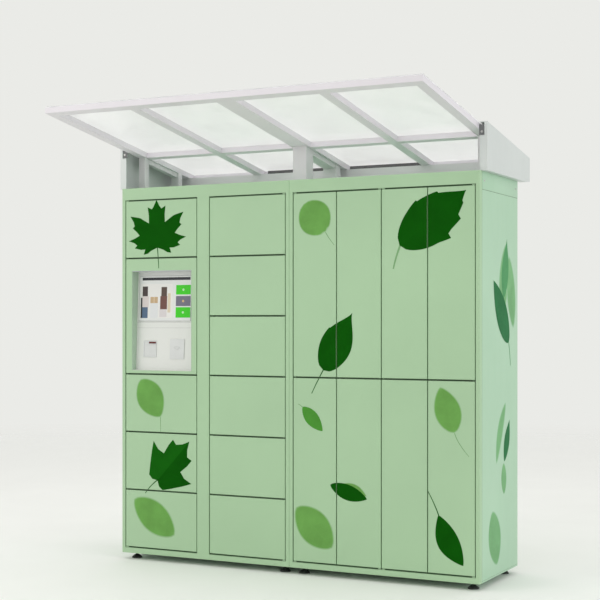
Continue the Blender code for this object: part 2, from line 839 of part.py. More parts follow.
def roof_empty():
    """The canopy's own frame: its Y runs back down the slope, and Z = 0 is the top of the sheet."""
    empty = bpy.data.objects.new("roof_plane", None)
    empty.location = (0.0, 0.0, ROOF_TOP_AT_DOORS)
    empty.rotation_euler = (-ROOF_SLOPE, 0.0, 0.0)
    PARTS.objects.link(empty)
    return empty


def roof_reach():
    """The sheet's front and rear edges, along the slope."""
    front = -(HALF_DEPTH - ROOF_THICKNESS * math.sin(ROOF_SLOPE)) / math.cos(ROOF_SLOPE)
    return front, ROOF_REAR_REACH / math.cos(ROOF_SLOPE)


def rafter_spans():
    """The X spans of the rafters; the two centre ones touch, so they are one span."""
    middle = CABINET_WIDTH / 2
    half = RAFTER_WIDTH / 2
    return [
        (-ROOF_HALF_WIDTH, -ROOF_HALF_WIDTH + RAFTER_WIDTH),
        (-middle - half, -middle + half),
        (-RAFTER_WIDTH, RAFTER_WIDTH),
        (middle - half, middle + half),
        (ROOF_HALF_WIDTH - RAFTER_WIDTH, ROOF_HALF_WIDTH),
    ]


def make_canopy_frame(plane):
    """The welded grid of channels under the roof sheets."""
    front, rear = roof_reach()
    low_z, high_z = -ROOF_THICKNESS, -ROOF_SHEET - FIT_GAP
    purlin = PURLIN_Y / math.cos(ROOF_SLOPE)
    cross_spans = [
        (front + FRONT_BEAM_WIDTH, purlin - PURLIN_WIDTH / 2),
        (purlin + PURLIN_WIDTH / 2, rear - REAR_RAIL_WIDTH),
    ]
    rafters = rafter_spans()
    slab = block((-ROOF_HALF_WIDTH, front, low_z), (ROOF_HALF_WIDTH, rear, high_z))
    cuts = []
    for (_, low_x), (high_x, _) in zip(rafters, rafters[1:]):
        for low_y, high_y in cross_spans:
            cuts.append(block((low_x, low_y, low_z - PAST), (high_x, high_y, high_z + PAST)))
    floor_z = low_z + TUBE_WALL
    for low_x, high_x in rafters:
        for low_y, high_y in cross_spans:
            cuts.append(
                block(
                    (low_x + TUBE_WALL, low_y, floor_z), (high_x - TUBE_WALL, high_y, high_z + PAST)
                )
            )
    rails = [
        (front, front + FRONT_BEAM_WIDTH),
        (purlin - PURLIN_WIDTH / 2, purlin + PURLIN_WIDTH / 2),
        (rear - REAR_RAIL_WIDTH, rear),
    ]
    for low_y, high_y in rails:
        cuts.append(
            block(
                (-ROOF_HALF_WIDTH + TUBE_WALL, low_y + TUBE_WALL, floor_z),
                (ROOF_HALF_WIDTH - TUBE_WALL, high_y - TUBE_WALL, high_z + PAST),
            )
        )
    return part("canopy_frame", "canopy_metal", slab, cut=cuts, parent=plane)


def make_roof_sheets(plane):
    front, rear = roof_reach()
    for name, low_x, high_x in (
        ("roof_panel_left", -ROOF_HALF_WIDTH, -ROOF_SEAM_HALF),
        ("roof_panel_right", ROOF_SEAM_HALF, ROOF_HALF_WIDTH),
    ):
        sheet = block((low_x, front, -ROOF_SHEET), (high_x, rear, 0.0))
        part(name, "roof_sheet", sheet, parent=plane)


def make_trestle(name, plane, x, front_post, rear_post):
    """Two posts on base plates, joined by a rail that slopes under the rafter."""
    foot_z = TOP_Z + FIT_GAP
    plate_top = foot_z + PLATE_THICKNESS
    tall_z = ROOF_TOP_AT_DOORS + POST_OVERRUN
    joined = []
    hollows = []
    for half, low_y, high_y in (front_post, rear_post):
        joined.append(block((x - half, low_y, foot_z + BITE), (x + half, high_y, tall_z)))
        low_x = max(x - half - PLATE_LIP, -ROOF_HALF_WIDTH)
        high_x = min(x + half + PLATE_LIP, ROOF_HALF_WIDTH)
        joined.append(
            block((low_x, low_y - PLATE_LIP, foot_z), (high_x, high_y + PLATE_LIP, plate_top))
        )
        hollows.append(
            block(
                (x - half + TUBE_WALL, low_y + TUBE_WALL, foot_z - PAST),
                (x + half - TUBE_WALL, high_y - TUBE_WALL, TOP_Z + POST_HOLLOW),
            )
        )
    under = -ROOF_THICKNESS - FIT_GAP
    half = min(front_post[0], rear_post[0]) - RAIL_SET_IN
    rail_low = (front_post[1] + RAIL_OVERLAP) / math.cos(ROOF_SLOPE)
    rail_high = (rear_post[2] - RAIL_OVERLAP) / math.cos(ROOF_SLOPE)
    rail = block(
        (x - half, rail_low, under - TRESTLE_RAIL_DEPTH), (x + half, rail_high, under + PAST)
    )
    sky = block((x - FAR, -ROOF_HALF_WIDTH, under), (x + FAR, ROOF_HALF_WIDTH, FAR))
    obj = part(name, "canopy_metal", joined[0], joined=joined[1:])
    combine(obj, "UNION", [rail], plane)
    combine(obj, "DIFFERENCE", [sky], plane)
    combine(obj, "DIFFERENCE", hollows)
    return obj


def make_side_box(name, side):
    """The trapezoid end box: an outer web with a flange all round, open towards the roof."""
    fall = math.tan(ROOF_SLOPE)
    low_z = TOP_Z + FIT_GAP
    outline = [
        (SIDE_BOX_FRONT, low_z),
        (SIDE_BOX_KINK, low_z),
        (HALF_DEPTH, low_z + SIDE_BOX_RISE),
        (HALF_DEPTH, ROOF_TOP_AT_DOORS - HALF_DEPTH * fall),
        (SIDE_BOX_FRONT, ROOF_TOP_AT_DOORS - SIDE_BOX_FRONT * fall),
    ]
    low_x, high_x = sorted((side * SIDE_BOX_INNER, side * HALF_WIDTH))
    obj = prism_object(name, outline, low_x, high_x, PARTS)
    if side > 0:
        span = (low_x - PAST, high_x - SHEET)
    else:
        span = (low_x + SHEET, high_x + PAST)
    hollow = prism_object(name + "_hollow", inset(outline, SHEET), *span, CUTTERS)
    modifier = obj.modifiers.new("hollow", "BOOLEAN")
    modifier.operation = "DIFFERENCE"
    modifier.object = hollow
    settle(obj)
    bpy.data.objects.remove(hollow, do_unlink=True)
    notch_x = sorted((side * (SIDE_BOX_INNER - PAST), side * (SIDE_BOX_INNER + NOTCH_WIDTH)))
    notch_y = (SIDE_BOX_FRONT - PAST, SIDE_BOX_FRONT + PAST)
    notch = block((notch_x[0], notch_y[0], NOTCH_LOW), (notch_x[1], notch_y[1], NOTCH_HIGH))
    combine(obj, "DIFFERENCE", [notch])
    obj.data.materials.clear()
    obj.data.materials.append(finish_material("canopy_metal"))
    return obj


def make_rear_channel():
    """The channel that closes the space between the roof's rear edge and the cabinets."""
    low_x, high_x = -ROOF_HALF_WIDTH, ROOF_HALF_WIDTH
    low_z = TOP_Z + FIT_GAP
    fall = math.tan(ROOF_SLOPE)
    drop = (ROOF_THICKNESS + 2 * FIT_GAP) / math.cos(ROOF_SLOPE)

    def underside(y):
        return ROOF_TOP_AT_DOORS - y * fall - drop

    outline = [
        (CHANNEL_FRONT, low_z),
        (CHANNEL_BACK, low_z + CHANNEL_RISE),
        (CHANNEL_BACK, underside(CHANNEL_BACK)),
        (CHANNEL_WEB, underside(CHANNEL_WEB)),
        (CHANNEL_WEB, low_z + CHANNEL_FOLD),
        (CHANNEL_FRONT, low_z + CHANNEL_LIP),
    ]
    obj = prism_object("rear_channel", outline, low_x, high_x, PARTS)
    hollow = block(
        (low_x - PAST, CHANNEL_WEB + SHEET, low_z + CHANNEL_SLOT_RISE),
        (high_x + PAST, CHANNEL_BACK + PAST, CHANNEL_SLOT_TOP),
    )
    combine(obj, "DIFFERENCE", [hollow])
    obj.data.materials.clear()
    obj.data.materials.append(finish_material("canopy_metal"))
    return obj


# Assembly


def make_left_cabinet(columns):
    low_x = LEFT_CABINET
    first, second = columns
    openings = [
        (column.low - SIDE_GAP / 2, column.high + SIDE_GAP / 2) for column in (first, second)
    ]
    mullion_x = first.post_x
    make_casing("left_casing", low_x)
    make_back_panel("left_back_panel", low_x, cable_inlet=True)
    make_front_frame("left_front_frame", low_x, openings, columns)
    inner = (low_x + SHEET + FIT_GAP, low_x + CABINET_WIDTH - SHEET - FIT_GAP)
    post = [(mullion_x, WIDE_POST)]
    make_divider("left_divider", mullion_x, WIDE_POST["back"] + DIVIDER_CLEAR, (1, 2, 3, 5))
    for number, bays in enumerate((5, 3, 2, 1), 1):
        make_shelf(f"left_shelf_{number}", bays, inner, openings, columns, [mullion_x], post)
    half_span = (mullion_x + SHEET / 2 + FIT_GAP, inner[1])
    make_shelf("left_half_shelf", 4, half_span, openings[1:], [second], [], post)
    locks = [(-1, level(bays + 0.5)) for bays in (0, 1, 2, 5)] + [(-1, level(4))]
    locks += [(1, level(bays + 0.5)) for bays in range(6)]
    make_lock_post("left_lock_post", mullion_x, WIDE_POST, locks)


def make_right_cabinet(columns):
    low_x = RIGHT_CABINET
    opening = (columns[0].low - SIDE_GAP / 2, columns[-1].high + SIDE_GAP / 2)
    make_casing("right_casing", low_x)
    make_back_panel("right_back_panel", low_x, cable_inlet=False)
    make_front_frame("right_front_frame", low_x, [opening], columns)
    inner = (low_x + SHEET + FIT_GAP, low_x + CABINET_WIDTH - SHEET - FIT_GAP)
    dividers = [column.high for column in columns[:3]]
    post_xs = (dividers[0], dividers[2])
    for number, x in enumerate(dividers, 1):
        front = SLIM_POST["back"] + DIVIDER_CLEAR if x in post_xs else FRAME_DEPTH + DIVIDER_CLEAR
        make_divider(f"right_divider_{number}", x, front, (3,))
    posts = [(x, SLIM_POST) for x in post_xs]
    make_shelf("right_shelf", 3, inner, [opening], columns, dividers, posts)
    for number, x in enumerate(post_xs, 1):
        locks = [(side, level(bays)) for side in (-1, 1) for bays in (1.5, 4.5)]
        make_lock_post(f"right_lock_post_{number}", x, SLIM_POST, locks)


def make_doors(columns):
    shared = {}
    for column in columns:
        if column.letter == "a":
            bays = [(5, 6), (2, 3), (1, 2), (0, 1)]
            make_control_door(column, level(3), level(5))
        elif column.letter == "b":
            bays = [(low, low + 1) for low in range(5, -1, -1)]
        else:
            bays = [(3, 6), (0, 3)]
        for number, (low, high) in enumerate(bays, 1):
            make_door(f"door_{column.letter}{number}", column, level(low), level(high), shared)


def make_canopy():
    plane = roof_empty()
    make_canopy_frame(plane)
    make_roof_sheets(plane)
    make_trestle("left_trestle", plane, -SIDE_POST_X, SIDE_FRONT_POST, SIDE_REAR_POST)
    make_trestle("centre_trestle", plane, 0.0, CENTRE_FRONT_POST, CENTRE_REAR_POST)
    make_trestle("right_trestle", plane, SIDE_POST_X, SIDE_FRONT_POST, SIDE_REAR_POST)
    make_side_box("side_box_left", -1)
    make_side_box("side_box_right", 1)
    make_rear_channel()


clear_scene()
PARTS = new_collection("parcel_locker")
CUTTERS = new_collection("cutters")
COLUMNS = make_columns()
make_left_cabinet(COLUMNS[:2])
make_right_cabinet(COLUMNS[2:])
make_doors(COLUMNS)
FASCIA = fascia_empty()
make_fascia(FASCIA)
make_control_units(FASCIA)
make_controller_box()
make_feet()
make_canopy()
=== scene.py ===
"""Looks for the parcel locker: finishes, printed leaves, panel details, fasteners, light and camera."""

import math

import bmesh
import bpy
from mathutils import Matrix, Vector
from mathutils.geometry import delaunay_2d_cdt, intersect_point_line


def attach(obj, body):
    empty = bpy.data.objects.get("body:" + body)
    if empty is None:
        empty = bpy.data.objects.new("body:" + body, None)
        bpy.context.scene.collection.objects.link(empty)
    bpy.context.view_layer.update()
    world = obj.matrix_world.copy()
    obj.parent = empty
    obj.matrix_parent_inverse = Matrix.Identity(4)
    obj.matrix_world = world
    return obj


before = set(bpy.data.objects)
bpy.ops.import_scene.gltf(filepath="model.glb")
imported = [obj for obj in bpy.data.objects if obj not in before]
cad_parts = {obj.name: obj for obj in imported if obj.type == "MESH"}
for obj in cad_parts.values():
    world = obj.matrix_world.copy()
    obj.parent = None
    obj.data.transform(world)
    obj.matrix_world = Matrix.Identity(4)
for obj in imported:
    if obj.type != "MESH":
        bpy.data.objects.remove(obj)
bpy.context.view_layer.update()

# The cabinet's own measures, in metres
CABINET_WIDTH = 1.035
CABINET_DEPTH = 0.585
BASE_Z = 0.035
TOP_Z = 2.035
FLOOR_Z = 0.068
BAY = 0.3165
FRAME_DEPTH = 0.035
SIDE_GAP = 0.005
LEVEL_GAP = 0.008
LEAF_BACK = 0.016
STOP_FRONT = 0.0215
EDGE_RADIUS = 0.0025
ROOF_SLOPE = math.radians(9.0)
ROOF_TOP = 2.277
MULLION_X = -0.5175
RECESS_LOW = 1.003
RECESS_HIGH = 1.546
RECESS_DEPTH_LOW = 0.036
RECESS_DEPTH_HIGH = 0.062
FASCIA_LEFT = -0.971
FASCIA_WIDTH = 0.3815
FASCIA_WALL = 0.0024
PIVOT_INSET = 0.008

TALL = ((3, 6), (0, 3))

# Each column: low X, high X, its pivots' side, its lock post's X, the striker's offset, and its bays
COLUMNS = {
    "a": (-1.0125, -0.5565, -1, MULLION_X, 0.054, ((5, 6), (2, 3), (1, 2), (0, 1))),
    "b": (-0.4785, -0.0225, 1, MULLION_X, 0.054, tuple((n, n + 1) for n in range(5, -1, -1))),
    "c": (0.0225, 0.27, -1, 0.27, 0.034, TALL), "d": (0.27, 0.5175, 1, 0.27, 0.034, TALL),
    "e": (0.5175, 0.765, -1, 0.765, 0.034, TALL), "f": (0.765, 1.0125, 1, 0.765, 0.034, TALL),
}


def level(bays):
    return FLOOR_Z + bays * BAY


def door_face(letter, first, last):
    """The front face of a door in this column between two bays: low X, high X, low Z, high Z."""
    low, high = COLUMNS[letter][:2]
    return (
        low + SIDE_GAP / 2, high - SIDE_GAP / 2, level(first) + LEVEL_GAP / 2, level(last) - LEVEL_GAP / 2
    )


DOOR_FACES = {
    f"door_{letter}{number}": door_face(letter, *span)
    for letter, column in COLUMNS.items()
    for number, span in enumerate(column[-1], 1)
}
DOOR_FACES["control_door"] = door_face("a", 3, 5)

# Materials


def shade(colour, factor):
    return tuple(min(1.0, channel * factor) for channel in colour)


class Finish:
    """A material's node tree, with short calls for the nodes that the finishes share."""

    def __init__(self, name, roughness, metallic=0.0, **sockets):
        self.material = bpy.data.materials.new(name)
        self.material.use_nodes = True
        self.tree = self.material.node_tree
        self.shader = self.tree.nodes["Principled BSDF"]
        self.shader.inputs["Metallic"].default_value = metallic
        self.shader.inputs["Roughness"].default_value = roughness
        for socket, value in sockets.items():
            self.shader.inputs[socket.replace("_", " ")].default_value = value
        self.place = self.node("ShaderNodeTexCoord").outputs["Object"]

    def node(self, kind, **settings):
        made = self.tree.nodes.new(kind)
        for name, value in settings.items():
            setattr(made, name, value)
        return made

    def link(self, source, target):
        self.tree.links.new(source, target)

    def stretched(self, scale):
        mapping = self.node("ShaderNodeMapping")
        mapping.inputs["Scale"].default_value = scale
        self.link(self.place, mapping.inputs["Vector"])
        return mapping.outputs["Vector"]

    def parts(self, vector=None):
        """The three coordinates of a vector, or of the place on the object."""
        split = self.node("ShaderNodeSeparateXYZ")
        self.link(vector or self.place, split.inputs["Vector"])
        return split.outputs

    def noise(self, scale, detail, place=None, roughness=0.55):
        made = self.node("ShaderNodeTexNoise")
        made.inputs["Scale"].default_value = scale
        made.inputs["Detail"].default_value = detail
        made.inputs["Roughness"].default_value = roughness
        self.link(place or self.place, made.inputs["Vector"])
        return made.outputs["Fac"]

    def ramp(self, factor, stops):
        made = self.node("ShaderNodeValToRGB")
        for element, (position, colour) in zip(made.color_ramp.elements, stops):
            element.position = position
            element.color = (*colour, 1.0)
        self.link(factor, made.inputs["Fac"])
        return made.outputs["Color"]

    def drifting(self, factor, colour, spread, stops=(0.3, 0.7)):
        """The colour, a little darker and lighter as the factor goes from one stop to the other."""
        tones = (shade(colour, 1 - spread), shade(colour, 1 + spread))
        return self.ramp(factor, list(zip(stops, tones)))

    def mix(self, factor, first, second):
        made = self.node("ShaderNodeMix", data_type="RGBA")
        for value, index in ((factor, 0), (first, 6), (second, 7)):
            if isinstance(value, (int, float)):
                made.inputs[index].default_value = value
            elif isinstance(value, tuple):
                made.inputs[index].default_value = (*value, 1.0)
            else:
                self.link(value, made.inputs[index])
        return made.outputs[2]

    def math(self, operation, first, second=0.0, third=0.0):
        made = self.node("ShaderNodeMath", operation=operation)
        for value, socket in zip((first, second, third), made.inputs):
            if isinstance(value, (int, float)):
                socket.default_value = value
            else:
                self.link(value, socket)
        return made.outputs[0]

    def span(self, factor, low, high, source=(0.3, 0.7)):
        made = self.node("ShaderNodeMapRange")
        for socket, value in zip(list(made.inputs)[1:5], (*source, low, high)):
            socket.default_value = value
        self.link(factor, made.inputs[0])
        return made.outputs[0]

    def bump(self, height, strength, distance):
        made = self.node("ShaderNodeBump")
        made.inputs["Strength"].default_value = strength
        made.inputs["Distance"].default_value = distance
        self.link(height, made.inputs["Height"])
        self.link(made.outputs["Normal"], self.shader.inputs["Normal"])

    def colour(self, source):
        self.link(source, self.shader.inputs["Base Color"])

    def rough(self, source):
        self.link(source, self.shader.inputs["Roughness"])


PEEL_SCALE = 620.0
PEEL_DEPTH = 0.0004


def powder_coat(name, colour, roughness=0.42, peel=0.10, spread=0.035, metallic=0.0, dust=0.0):
    """Baked powder paint: orange peel, a slight drift of tone over a panel, and fine speckle."""
    finish = Finish(name, roughness, metallic)
    tone = finish.drifting(finish.noise(1.7, 2.0), colour, spread, (0.25, 0.75))
    fleck = finish.span(finish.noise(2400.0, 1.0), 0.0, 0.10, (0.62, 0.74))
    finish.colour(finish.mix(fleck, tone, shade(colour, 1.18)))
    scuffs = finish.noise(14.0, 5.0, finish.stretched((1.0, 1.0, 0.35)), 0.7)
    finish.rough(finish.span(scuffs, roughness - 0.05, roughness + 0.08 + dust))
    finish.bump(finish.noise(PEEL_SCALE, 2.0), peel, PEEL_DEPTH)
    return finish.material


# The rolling direction's stretch, and the dark green painted on the ledges around the doors as the shade in
# their gaps
ROLLING = (1.0, 0.03, 14.0)
GAP_SHADE_GREEN = (0.034, 0.090, 0.030)


def zinc_sheet(name):
    """Zinc-plated sheet: a pale spangle with rolling lines."""
    finish = Finish(name, 0.42, 0.85)
    spangle = finish.node("ShaderNodeTexVoronoi")
    spangle.inputs["Scale"].default_value = 95.0
    finish.link(finish.place, spangle.inputs["Vector"])
    grey = finish.node("ShaderNodeRGBToBW")
    finish.link(spangle.outputs["Color"], grey.inputs["Color"])
    lines = finish.noise(60.0, 4.0, finish.stretched(ROLLING))
    tone = finish.ramp(grey.outputs["Val"], [(0.0, (0.50, 0.52, 0.54)), (1.0, (0.64, 0.66, 0.67))])
    finish.colour(finish.mix(finish.span(lines, 0.0, 0.25), tone, (0.70, 0.71, 0.72)))
    finish.rough(finish.span(grey.outputs["Val"], 0.34, 0.52, (0.0, 1.0)))
    finish.bump(lines, 0.08, 0.0002)
    return finish.material


def shelf_finish(name):
    """A shelf's painted zinc: grey inside, and its front ledge dark green, a painted shade for the gaps
    between the doors.
    """
    finish = Finish(name, 0.45)
    inside = finish.math("GREATER_THAN", finish.parts()["Y"], FRAME_DEPTH - 0.003)
    lines = finish.noise(60.0, 4.0, finish.stretched(ROLLING))
    grey = finish.ramp(lines, [(0.3, (0.46, 0.48, 0.49)), (0.7, (0.60, 0.62, 0.63))])
    # Painted shade: the front ledge that shows through the gaps between the doors is painted dark green
    gap_shade_tone = finish.ramp(lines, [(0.3, (0.028, 0.080, 0.026)), (0.7, GAP_SHADE_GREEN)])
    finish.colour(finish.mix(inside, gap_shade_tone, grey))
    finish.link(finish.math("MULTIPLY", inside, 0.8), finish.shader.inputs["Metallic"])
    finish.rough(finish.span(lines, 0.38, 0.52))
    finish.bump(lines, 0.08, 0.0002)
    return finish.material


def frame_finish(name):
    """The front frame's powder coat, with the door gaps' dark green painted shade on its top and bottom
    ledges.
    """
    finish = Finish(name, 0.42)
    across, depth, up = finish.parts()
    behind = finish.math("GREATER_THAN", depth, 0.009)
    between = finish.math("LESS_THAN", finish.math("ABSOLUTE", across), CABINET_WIDTH - 0.015)
    near = [finish.math("COMPARE", up, height, 0.0045) for height in (level(0), level(6))]
    ledge = finish.math("MULTIPLY", behind, finish.math("MAXIMUM", *near))
    paint = finish.drifting(finish.noise(1.7, 2.0), GREEN, 0.035, (0.25, 0.75))
    # Painted shade: the top and bottom ledges, seen through the door gaps, are painted dark green
    finish.colour(finish.mix(finish.math("MULTIPLY", ledge, between), paint, GAP_SHADE_GREEN))
    finish.rough(finish.span(finish.noise(14.0, 5.0), 0.37, 0.50))
    finish.bump(finish.noise(PEEL_SCALE, 2.0), 0.10, PEEL_DEPTH)
    return finish.material


def fascia_finish(name):
    """The fascia's pale paint, with the tray's side walls in the doors' green and its top wall in a darker
    grey, a painted shade.
    """
    finish = Finish(name, 0.38)
    across, _, up = finish.parts()
    left = finish.math("LESS_THAN", across, FASCIA_LEFT + FASCIA_WALL)
    right = finish.math("GREATER_THAN", across, FASCIA_LEFT + FASCIA_WIDTH - FASCIA_WALL)
    top = finish.math("GREATER_THAN", up, BASE_Z + RECESS_HIGH - FASCIA_WALL)
    tones = [(0.3, (0.715, 0.725, 0.700)), (0.7, (0.735, 0.745, 0.720))]
    pale = finish.ramp(finish.noise(1.7, 2.0), tones)
    walled = finish.mix(finish.math("MAXIMUM", left, right), pale, (0.400, 0.530, 0.400))
    # Painted shade: the tray's top wall, seen from below, is a darker lavender grey than the fascia
    finish.colour(finish.mix(top, walled, (0.600, 0.600, 0.660)))
    finish.rough(finish.span(finish.noise(14.0, 4.0), 0.34, 0.44))
    finish.bump(finish.noise(PEEL_SCALE, 2.0), 0.06, PEEL_DEPTH)
    return finish.material


def brushed_steel(name, colour):
    finish = Finish(name, 0.32, 0.9)
    lines = finish.noise(1600.0, 3.0, finish.stretched((0.02, 1.0, 1.0)))
    finish.colour(finish.ramp(lines, [(0.3, shade(colour, 0.86)), (0.7, shade(colour, 1.1))]))
    finish.rough(finish.span(lines, 0.24, 0.42))
    finish.bump(lines, 0.10, 0.0001)
    return finish.material


def moulding(name, colour, roughness, grain=0.12):
    """Injection-moulded plastic with a spark-eroded grain."""
    finish = Finish(name, roughness)
    finish.colour(finish.drifting(finish.noise(6.0, 2.0), colour, 0.06))
    finish.rough(finish.span(finish.noise(40.0, 3.0), roughness - 0.06, roughness + 0.06))
    finish.bump(finish.noise(900.0, 2.0), grain, 0.0003)
    return finish.material


def frosted_sheet(name):
    """Opal polycarbonate that daylight comes through, with faint extrusion lines and marks, and a faint
    painted glow.
    """
    finish = Finish(name, 0.5, Transmission_Weight=1.0, IOR=1.15)
    lines = finish.noise(22.0, 2.0, finish.stretched((1.0, 0.02, 1.0)))
    marks = finish.noise(9.0, 5.0)
    tone = finish.ramp(marks, [(0.35, (0.95, 0.965, 0.955)), (0.7, (0.98, 0.985, 0.98))])
    finish.colour(finish.mix(finish.span(lines, 0.0, 0.15), tone, (0.90, 0.92, 0.91)))
    finish.rough(finish.span(marks, 0.42, 0.60))
    finish.bump(lines, 0.10, 0.0003)
    # Painted light: a faint white glow on the roof sheet, which is no lamp
    finish.shader.inputs["Emission Color"].default_value = (1.0, 0.97, 1.0, 1.0)
    finish.shader.inputs["Emission Strength"].default_value = 0.048
    return finish.material


def screen_glass(name):
    finish = Finish(name, 0.08, Coat_Weight=0.5, Coat_Roughness=0.05)
    smears = finish.noise(18.0, 5.0)
    finish.colour(finish.ramp(smears, [(0.3, (0.012, 0.013, 0.016)), (0.8, (0.022, 0.023, 0.026))]))
    finish.rough(finish.span(smears, 0.06, 0.16))
    return finish.material


def foot_material(name):
    """The foot is black rubber up to its pad's neck, and a plated steel thread and nut above it."""
    finish = Finish(name, 0.5)
    height = finish.parts()["Z"]
    steel = finish.math("GREATER_THAN", height, 0.0195)
    scuffs = finish.noise(120.0, 4.0)
    black = finish.ramp(scuffs, [(0.3, (0.012, 0.012, 0.013)), (0.8, (0.03, 0.03, 0.031))])
    finish.colour(finish.mix(steel, black, (0.10, 0.10, 0.10)))
    finish.link(steel, finish.shader.inputs["Metallic"])
    thread = finish.math("SINE", finish.math("MULTIPLY", height, 4200.0))
    grain = finish.noise(500.0, 2.0)
    finish.bump(finish.mix(steel, grain, thread), 0.35, 0.0004)
    finish.rough(finish.span(scuffs, 0.42, 0.62))
    return finish.material


def leaf_print(name, colour, veins, ground=None):
    """A printed leaf: its tone drifts, its veins are faint, and it may fade into the ground at its edge.

    The mesh carries where each point is on the leaf: along it, across it, and inwards from its edge.
    """
    finish = Finish(name, 0.45, Specular_IOR_Level=0.02)
    spot = finish.node("ShaderNodeAttribute", attribute_name="leaf")
    along, across, inwards = finish.parts(spot.outputs["Vector"])
    tone = finish.drifting(finish.noise(9.0, 3.0), colour, 0.10)
    off_rib = finish.math("ABSOLUTE", across)
    rib = finish.math("LESS_THAN", off_rib, 0.012)
    wave = finish.math("MULTIPLY_ADD", off_rib, -2.2, finish.math("MULTIPLY", along, 9.0))
    branch = finish.math("LESS_THAN", finish.math("FRACT", wave), 0.10)
    lines = finish.math("MULTIPLY", finish.math("MAXIMUM", rib, branch), veins)
    blade = finish.mix(lines, tone, shade(colour, 1.6))
    if ground:
        blade = finish.mix(finish.span(inwards, 0.0, 1.0, (0.0, 1.0)), ground, blade)
    finish.colour(blade)
    finish.rough(finish.span(finish.noise(30.0, 3.0), 0.38, 0.50))
    finish.bump(finish.noise(900.0, 2.0), 0.05, 0.0002)
    return finish.material


def lit_page(name, colour, glow, spread=0.02):
    """A lit area of the display."""
    finish = Finish(name, 0.25)
    tone = finish.drifting(finish.noise(5.0, 1.0), colour, spread)
    finish.colour(tone)
    finish.link(tone, finish.shader.inputs["Emission Color"])
    finish.shader.inputs["Emission Strength"].default_value = glow
    return finish.material


GREEN = (0.385, 0.565, 0.355)
# Painted light: the sides' green is the doors' green made lighter and bluer for the light that falls on the
# sides from the right
SIDE_GREEN_LIT = (0.400, 0.600, 0.430)

green_paint = powder_coat("green_powder_coat", GREEN)
zinc = zinc_sheet("zinc_sheet")
lock_grey = powder_coat("lock_powder_coat", (0.055, 0.056, 0.060), 0.5)
side_paint = powder_coat("green_powder_coat_with_painted_side_light", SIDE_GREEN_LIT)
shelf_zinc = shelf_finish("shelf_zinc_and_painted_gap_shade")
fascia_paint = fascia_finish("fascia_powder_coat")
frame_paint = frame_finish("frame_powder_coat_and_painted_gap_shade")
canopy_metal = powder_coat("canopy_powder_coat", (0.66, 0.645, 0.665), 0.36, 0.07, 0.03, 0.10, 0.05)
frame_metal = powder_coat("canopy_frame_coat", (0.73, 0.695, 0.74), 0.38, 0.06, 0.02, 0.0, 0.05)
box_metal = powder_coat("side_box_coat", (0.62, 0.65, 0.64), 0.36, 0.07, 0.03, 0.15, 0.05)
roof_sheet = frosted_sheet("frosted_roof_sheet_with_painted_glow")
glass = screen_glass("display_glass")
reader_grey = moulding("reader_moulding", (0.66, 0.67, 0.67), 0.45)
foot_black = foot_material("foot_rubber_and_thread")
rubber = moulding("seal_rubber", (0.016, 0.017, 0.016), 0.7, 0.2)
steel = brushed_steel("screw_steel", (0.60, 0.60, 0.59))
dark_lamp_and_shadow = moulding("painted_shadow_lamp_housing", (0.085, 0.082, 0.086), 0.45)
lamp_lens = moulding("lamp_lens", (0.30, 0.31, 0.33), 0.25, 0.05)
bracket_grey = powder_coat("bracket_coat", (0.16, 0.165, 0.17), 0.5)
# Painted shade: the seams' dark green stands for a sealant bead and for the shadow line in the seams
seam_shadow_strip = moulding("seam_sealant_and_painted_shadow", (0.155, 0.235, 0.150), 0.6)
fascia_seam = moulding("fascia_seam", (0.42, 0.42, 0.42), 0.6)
bezel_grey = moulding("display_bezel", (0.50, 0.51, 0.51), 0.45)
reader_mark = moulding("reader_mark", (0.50, 0.51, 0.51), 0.5)
scan_red = moulding("scan_slot_filter", (0.13, 0.03, 0.03), 0.15, 0.02)

# The first word that is found in a CAD piece's name gives its finish
CAD_FINISHES = (
    ("casing", side_paint), ("front_frame", frame_paint), ("back_panel", green_paint),
    ("door", green_paint), ("fascia", fascia_paint), ("touchscreen", glass), ("scanner", reader_grey),
    ("card_reader", reader_grey), ("canopy_frame", frame_metal), ("trestle", canopy_metal),
    ("rear_channel", canopy_metal), ("side_box", box_metal), ("roof_panel", roof_sheet),
    ("foot", foot_black), ("lock_post", lock_grey), ("shelf", shelf_zinc), ("", zinc),
)

for node_name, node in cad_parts.items():
    node.data.materials.clear()
    node.data.materials.append(next(finish for word, finish in CAD_FINISHES if word in node_name))

# Mesh helpers


def finished(name, bm, material, body="cabinets", smooth=True):
    """Turns the built mesh into a piece of this material slot that rides on a body."""
    bmesh.ops.remove_doubles(bm, verts=bm.verts, dist=1e-6)
    bmesh.ops.recalc_face_normals(bm, faces=bm.faces)
    mesh = bpy.data.meshes.new(name)
    bm.to_mesh(mesh)
    bm.free()
    mesh.materials.append(material)
    if smooth:
        mesh.shade_smooth()
        mesh.set_sharp_from_angle(angle=math.radians(35))
    obj = bpy.data.objects.new(name, mesh)
    bpy.context.scene.collection.objects.link(obj)
    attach(obj, body)


def slab(bm, low, high, radius=0.0, segments=2, matrix=Matrix()):
    """A sheet or block with all its edges broken by a small radius."""
    low, high = Vector(low), Vector(high)
    size = high - low
    place = Matrix.Translation((low + high) / 2) @ Matrix.Diagonal((*size, 1.0))
    part = bmesh.new()
    bmesh.ops.create_cube(part, size=1.0, matrix=place)
    radius = min(radius, min(size) * 0.45)
    if radius > 0:
        bmesh.ops.bevel(
            part, geom=part.edges[:], offset=radius, segments=segments, affect="EDGES", profile=0.5
        )
    bmesh.ops.transform(part, matrix=matrix, verts=part.verts)
    join(bm, part)


def join(bm, part):
    """Adds the built part to the mesh, and frees it."""
    mesh = bpy.data.meshes.new("joined")
    part.to_mesh(mesh)
    part.free()
    bm.from_mesh(mesh)
    bpy.data.meshes.remove(mesh)


